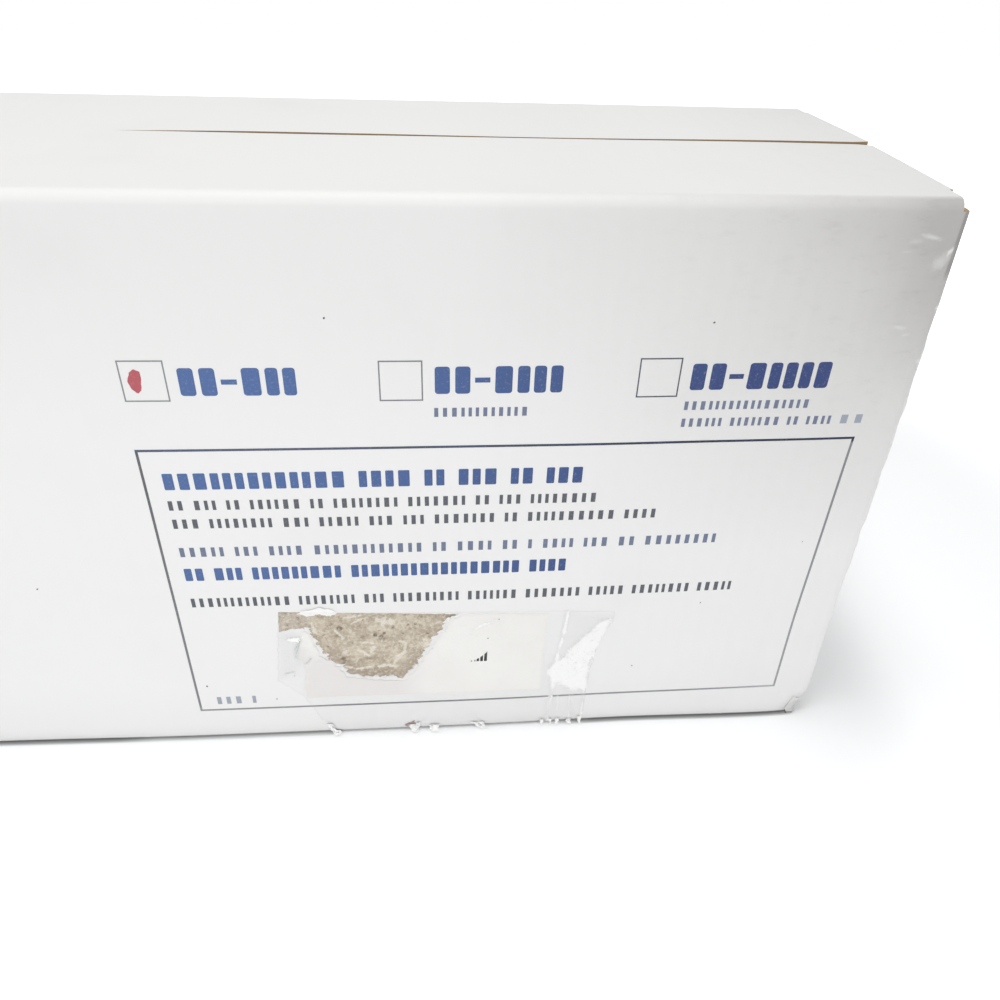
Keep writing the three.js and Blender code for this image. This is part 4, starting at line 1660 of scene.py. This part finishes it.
tub = boxOf("rack_base_1")
rack = {
    "count": 8,
    "width": tub[1].x - tub[0].x,  # over the ledge
    "length": tub[1].y - tub[0].y,
    "ledge": 1.6,  # how far the ledge stands out
    "ledgeFoot": 66,
    "ledgeHead": 69,
    "head": 72,
    "corner": 5.4,
    "wall": 1.6,
    "draft": 0.7,  # how much the tub narrows towards its foot
    "foot": 2.5,
    "panelMargin": 9,  # recessed panel on each side
    "panelDepth": 0.7,
}
deck = {
    "columns": 8,
    "rows": 12,
    "pitch": 9,
    "hole": 2.8,
    "holeSides": 12,
    "top": 74.3,
    "collar": 3,
    "skirt": 2.8,
    "corner": 2.6,
    "thick": 1.3,
}
tip = {
    "sides": 8,
    # radius and height, from the point up the outside, over the rim and down the bore
    "profile": [
        (0.45, 5.4), (0.95, 16), (2.1, 46), (2.55, 73.8), (3.55, 74.5), (3.8, 84), (3.3, 84), (2.2, 68),
        (0.22, 5.4),
    ],
}
lid = {"foot": 69.3, "top": 96, "round": 3, "wall": 1.2, "recess": 5, "recessDepth": 0.6}


def plate(bm, width, length, corner, z):
    # one flat face with round corners
    made = bmesh.ops.create_grid(
        bm, x_segments=1, y_segments=1, size=0.5, matrix=sized(width, length, 1, (0, 0, z)))
    bmesh.ops.bevel(
        bm, geom=made["verts"], offset=corner, segments=5, profile=0.5, affect="VERTICES", material=-1)


def risen(bm, edges, width, length, moves):
    # extrudes a closed rim step by step; each move is (outwards, up)
    for out, up in moves:
        made = bmesh.ops.extrude_edge_only(bm, edges=edges)["geom"]
        fresh = vertsOf(made)
        edges = edgesOf(made, fresh)
        bmesh.ops.scale(bm, verts=fresh, vec=(1 + 2 * out / width, 1 + 2 * out / length, 1))
        bmesh.ops.translate(bm, verts=fresh, vec=(0, 0, up))
        width += 2 * out
        length += 2 * out
    return edges


plastic = {
    "flow": (0.06, 3.0, 0.5),  # scale, detail and roughness of its grains
    "matt": (1.6, 3.0, 0.6),
    "flowFrom": (0.35, 0.65),
    "paler": 1.08,
    "roughGrain": 0.12,
    "relief": 0.02,
}


def polymer(name, colour, roughness, alpha=1.0):
    paint = Paint(name, {"IOR": 1.49, "Alpha": alpha, "Specular IOR Level": 0.5})
    flow = paint.step(paint.grain(*plastic["flow"]), *plastic["flowFrom"])
    matt = paint.grain(*plastic["matt"])
    pale = tuple(min(1.0, channel * plastic["paler"]) for channel in colour[:3]) + (1,)
    paint.feed("Base Color", paint.blended(flow, colour, pale))
    paint.feed("Roughness", roughness + matt * plastic["roughGrain"])
    paint.relief(matt, plastic["relief"])
    return paint


tubWhite = polymer("tubPolymer", screen(222, 226, 228), 0.34)
deckBlue = polymer("deckPolymer", screen(104, 144, 196), 0.36)
tipNatural = polymer("tipPolymer", screen(232, 235, 233), 0.26)
lidClear = polymer("lidPolymer", screen(232, 237, 240), 0.16, 0.2)
lidInside = polymer("lidInside", screen(232, 237, 240), 0.3, 0.02)  # one side alone carries the tint


def drawTub(bm):
    width, length = rack["width"] - 2 * rack["ledge"], rack["length"] - 2 * rack["ledge"]
    narrow = rack["draft"] + rack["foot"] / 2
    plate(bm, width - 2 * narrow, length - 2 * narrow, rack["corner"], 0)
    wall, rise = rack["wall"], rack["ledgeFoot"] - rack["ledge"] - rack["foot"]
    moves = [
        (rack["foot"] / 2, rack["foot"]), (rack["draft"], rise), (rack["ledge"], rack["ledge"]),
        (0, rack["ledgeHead"] - rack["ledgeFoot"]), (-rack["ledge"], 0),
        (0, rack["head"] - rack["ledgeHead"]), (-wall, 0),
        (-rack["draft"], wall + rack["foot"] - rack["head"]),
    ]
    rim = risen(bm, bm.edges[:], width - 2 * narrow, length - 2 * narrow, moves)
    bmesh.ops.edgeloop_fill(bm, edges=rim)
    bmesh.ops.recalc_face_normals(bm, faces=bm.faces)
    sides = [f for f in bm.faces if f.calc_area() > 3000 and abs(f.normal.z) < 0.3]
    outer = [f for f in sides if f.normal.dot(f.calc_center_median()) > 0]
    bmesh.ops.inset_individual(bm, faces=outer, thickness=rack["panelMargin"], depth=-rack["panelDepth"])


def seats():
    # the middle of each seat
    columns, rows, pitch = deck["columns"], deck["rows"], deck["pitch"]
    return [
        ((column - (columns - 1) / 2) * pitch, (row - (rows - 1) / 2) * pitch, 0)
        for column in range(columns) for row in range(rows)]


def drawDeck(bm):
    # one square with its hole, repeated, then a collar under each hole and a skirt round the deck
    pitch = deck["pitch"]
    bmesh.ops.create_grid(bm, x_segments=3, y_segments=3, size=pitch / 2)
    inner = [v for v in bm.verts if max(abs(v.co.x), abs(v.co.y)) < pitch / 2 - 0.1]
    bmesh.ops.delete(bm, geom=inner, context="VERTS")
    square = bm.edges[:]
    circle = bmesh.ops.create_circle(bm, segments=deck["holeSides"], radius=deck["hole"])["verts"]
    turn = Matrix.Rotation(math.pi / deck["holeSides"], 3, "Z")
    bmesh.ops.rotate(bm, verts=circle, matrix=turn)
    ring = [e for e in bm.edges if e not in square]
    bmesh.ops.bridge_loops(bm, edges=square + ring)
    cell = everything(bm)
    for place in seats():
        copy = bmesh.ops.duplicate(bm, geom=cell)["geom"]
        bmesh.ops.translate(bm, verts=vertsOf(copy), vec=place)
    bmesh.ops.delete(bm, geom=vertsOf(cell), context="VERTS")
    bmesh.ops.remove_doubles(bm, verts=bm.verts, dist=0.01)
    bmesh.ops.translate(bm, verts=bm.verts, vec=(0, 0, deck["top"]))
    width, length = deck["columns"] * pitch, deck["rows"] * pitch
    rims = [e for e in bm.edges if e.is_boundary]
    border = [e for e in rims if all(
        abs(v.co.x) > width / 2 - 0.01 or abs(v.co.y) > length / 2 - 0.01 for v in e.verts)]
    drawOut(bm, [e for e in rims if e not in border], [Vector((0, 0, -deck["collar"]))])
    tubWidth, tubLength = rack["width"] - 2 * rack["ledge"], rack["length"] - 2 * rack["ledge"]
    margin = drawOut(bm, border, [Vector((0, 0, 0))], (tubWidth / width, tubLength / length, 1))
    drawOut(bm, margin, [Vector((0, 0, -deck["skirt"]))])
    corners = [
        e for e in bm.edges if abs(e.verts[0].co.z - e.verts[1].co.z) > deck["skirt"] * 0.8
        and abs(e.verts[0].co.x) > tubWidth / 2 - 0.01 and abs(e.verts[0].co.y) > tubLength / 2 - 0.01]
    bmesh.ops.bevel(
        bm, geom=corners, offset=deck["corner"], segments=4, profile=0.5, affect="EDGES", material=-1)
    bmesh.ops.recalc_face_normals(bm, faces=bm.faces)


def drawTip(bm):
    chain = [bm.verts.new((radius, 0, height)) for radius, height in tip["profile"]]
    edges = [bm.edges.new(pair) for pair in zip(chain, chain[1:] + chain[:1])]
    bmesh.ops.spin(
        bm, geom=chain + edges, angle=2 * math.pi, steps=tip["sides"], axis=(0, 0, 1),
        cent=(0, 0, 0), use_merge=True)
    bmesh.ops.remove_doubles(bm, verts=bm.verts, dist=0.001)
    bmesh.ops.recalc_face_normals(bm, faces=bm.faces)


def drawTips(bm):
    one = bmesh.new()
    drawTip(one)
    for place in seats():
        copy = one.copy()
        bmesh.ops.translate(copy, verts=copy.verts, vec=place)
        add(bm, copy)
    one.free()


def drawLid(bm):
    rounding = lid["round"]
    width, length = rack["width"] - 2 * rounding, rack["length"] - 2 * rounding
    plate(bm, width, length, rack["corner"], lid["top"])
    moves = bend(rounding, math.pi / 2, -math.pi / 2, 4)
    moves.append((0, lid["foot"] - lid["top"] + rounding))
    risen(bm, bm.edges[:], width, length, moves)
    bmesh.ops.recalc_face_normals(bm, faces=bm.faces)
    top = [f for f in bm.faces if len(f.verts) > 8]
    bmesh.ops.inset_region(bm, faces=top, thickness=lid["recess"], depth=-lid["recessDepth"])


def master(name, draw, paints, thickness=0):
    bm = bmesh.new()
    draw(bm)
    piece = finished(name, bm, paints, None)
    return thicken(piece, thickness, len(paints) - 1) if thickness else piece


def setDown(pattern, name, nodes=None):
    # a copy of a master in each rack's place
    for number in range(1, rack["count"] + 1):
        low, high = boxOf(f"rack_base_{number}")
        mesh = pattern.data.copy()
        middle = (low + high) / 2
        mesh.transform(Matrix.Translation(Vector((middle.x, middle.y, low.z)) * mm))
        piece = bpy.data.objects.new(f"{name}{number}", mesh)
        bpy.context.scene.collection.objects.link(piece)
        if nodes:
            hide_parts(f"{nodes}_{number}")
        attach(piece, "carton")
    bpy.data.objects.remove(pattern)


setDown(master("tubMaster", drawTub, [tubWhite]), "rackTub", "rack_base")
setDown(master("deckMaster", drawDeck, [deckBlue], deck["thick"]), "tipDeck", "tip_deck")
setDown(master("tipMaster", drawTips, [tipNatural]), "rackTips")
setDown(
    master("lidMaster", drawLid, [lidClear, lidInside], lid["wall"]), "rackLid", "rack_lid")
print("racks, decks, tips and lids made")


# stage: floor, lamps, world and camera

stage = {
    "floor": 4000,
    "floorLevel": -0.25,  # just under the tape that laps beneath the carton
    "floorTint": (0.94, 0.95, 0.96, 1),
    # light that only the camera sees: beside the carton, a little way off and far off, in millimetres
    "floorGlow": (0.1, 0.2, 1.0),
    "floorTouch": (0.1, 2.0),  # the painted contact shadow line,
    "floorContactShadow": (0.13, 0.13, 0.13, 1),
    # which is paler in its middle and under the tape: where that fades in and out along x, and how much
    "paleMiddle": ((-104, -84), (86, 70), 0.27),
    "paleTape": ((-20, -14), (78, 62), 0.4),
    "paleCorner": ((162, 170), (-40, -58), 0.7),  # in x and in y
    "paleAll": 0.25,
    "floorNear": (22, 55),
    "floorFar": (150, 420),
    "worldStrength": 0.5,
    "lamps": {
        # name: place, aim, size, watts
        "keyLeft": ((-150, -850, 350), (0, -65, 90), 500, 2.1),
        "above": ((-70, -100, 1150), (0, -40, 0), 300, 4.3),
    },
    "eye": (19.4, -289.0, 266.6),
    "right": (0.9961, -0.0819, 0.0329),
    "up": (0.0203, 0.5752, 0.8177),
    "lens": 30.22,
}


def makeFloor():
    bm = bmesh.new()
    bmesh.ops.create_grid(bm, x_segments=1, y_segments=1, size=stage["floor"] / 2)
    bmesh.ops.translate(bm, verts=bm.verts, vec=(0, 0, stage["floorLevel"]))
    paint = Paint("floorPaint", {
        "Roughness": 0.9, "Specular IOR Level": 0.0, "Emission Strength": 1.0})
    # the carton's long sides bulge, so its footprint does too
    share = paint.x / halfLength
    front = paint.step(paint.y, 1, -1)
    bow = panel["backBow"] + (panel["bow"] - panel["backBow"]) * front
    bulge = paint.rise(share * share, 1, 0) * bow
    full = panel["bulgeFrom"] + panel["bulgeFull"]
    bulge = bulge + paint.step(paint.x, panel["bulgeFrom"], full) * panel["footBulge"] * front
    spread = paint.vectors("ABSOLUTE", paint.place)
    spread = paint.vectors("SUBTRACT", spread, paint.node("ShaderNodeCombineXYZ", None, {"Y": bulge}))
    spread = paint.vectors("SUBTRACT", spread, (halfLength, halfDepth, 0))
    distance = paint.vectors("LENGTH", paint.vectors("MAXIMUM", spread), output="Value")
    touching = paint.step(distance, *stage["floorTouch"])
    places = (paint.x, stage["paleMiddle"]), (paint.x, stage["paleTape"]), (paint.y, stage["paleCorner"])
    middle, taped, crushed = (
        paint.step(paint.x, *first) * paint.step(axis, *second) * pale
        for axis, (first, second, pale) in places)
    pale = (middle + taped) * front + crushed + stage["paleAll"]
    touching = touching + (1 - touching) * pale
    near, between, far = stage["floorGlow"]
    glow = near + paint.step(distance, *stage["floorNear"]) * (between - near)
    glow = glow + paint.step(distance, *stage["floorFar"]) * (far - between)
    paint.feed("Base Color", paint.blended(touching, stage["floorContactShadow"], stage["floorTint"]))
    paint.feed("Emission Color", paint.blended(
        paint.seenDirectly() * glow * touching, (0, 0, 0, 1), (1, 1, 1, 1)))
    floor = finished("floor", bm, [paint], None)


def makeWorld():
    world = bpy.data.worlds.new("studio")
    bpy.context.scene.world = world
    world.use_nodes = True
    nodes = Nodes(world.node_tree)
    strength = stage["worldStrength"] + nodes.seenDirectly() * (1 - stage["worldStrength"])
    background = nodes.tree.nodes["Background"]
    background.inputs["Color"].default_value = (1, 1, 1, 1)
    nodes.tree.links.new(strength.socket, background.inputs["Strength"])


def makeLamps():
    for name, (place, aim, size, watts) in stage["lamps"].items():
        lamp = bpy.data.lights.new(name, "AREA")
        lamp.size = size * mm
        lamp.energy = watts
        lampObject = bpy.data.objects.new(name, lamp)
        lampObject.location = Vector(place) * mm
        towards = Vector(aim) - Vector(place)
        lampObject.rotation_euler = towards.to_track_quat("-Z", "Y").to_euler()
        bpy.context.scene.collection.objects.link(lampObject)


def makeCamera():
    lens = bpy.data.cameras.new("camera")
    lens.lens = stage["lens"]
    lens.sensor_width = 36
    lens.clip_start = 0.01
    camera = bpy.data.objects.new("camera", lens)
    right, up = Vector(stage["right"]), Vector(stage["up"])
    turn = Matrix((right, up, right.cross(up))).transposed().to_4x4()
    camera.matrix_world = Matrix.Translation(Vector(stage["eye"]) * mm) @ turn
    bpy.context.scene.collection.objects.link(camera)
    bpy.context.scene.camera = camera


bpy.context.scene.view_settings.view_transform = "Standard"
makeFloor()
makeWorld()
makeLamps()
makeCamera()
print("stage set")

bpy.context.view_layer.update()
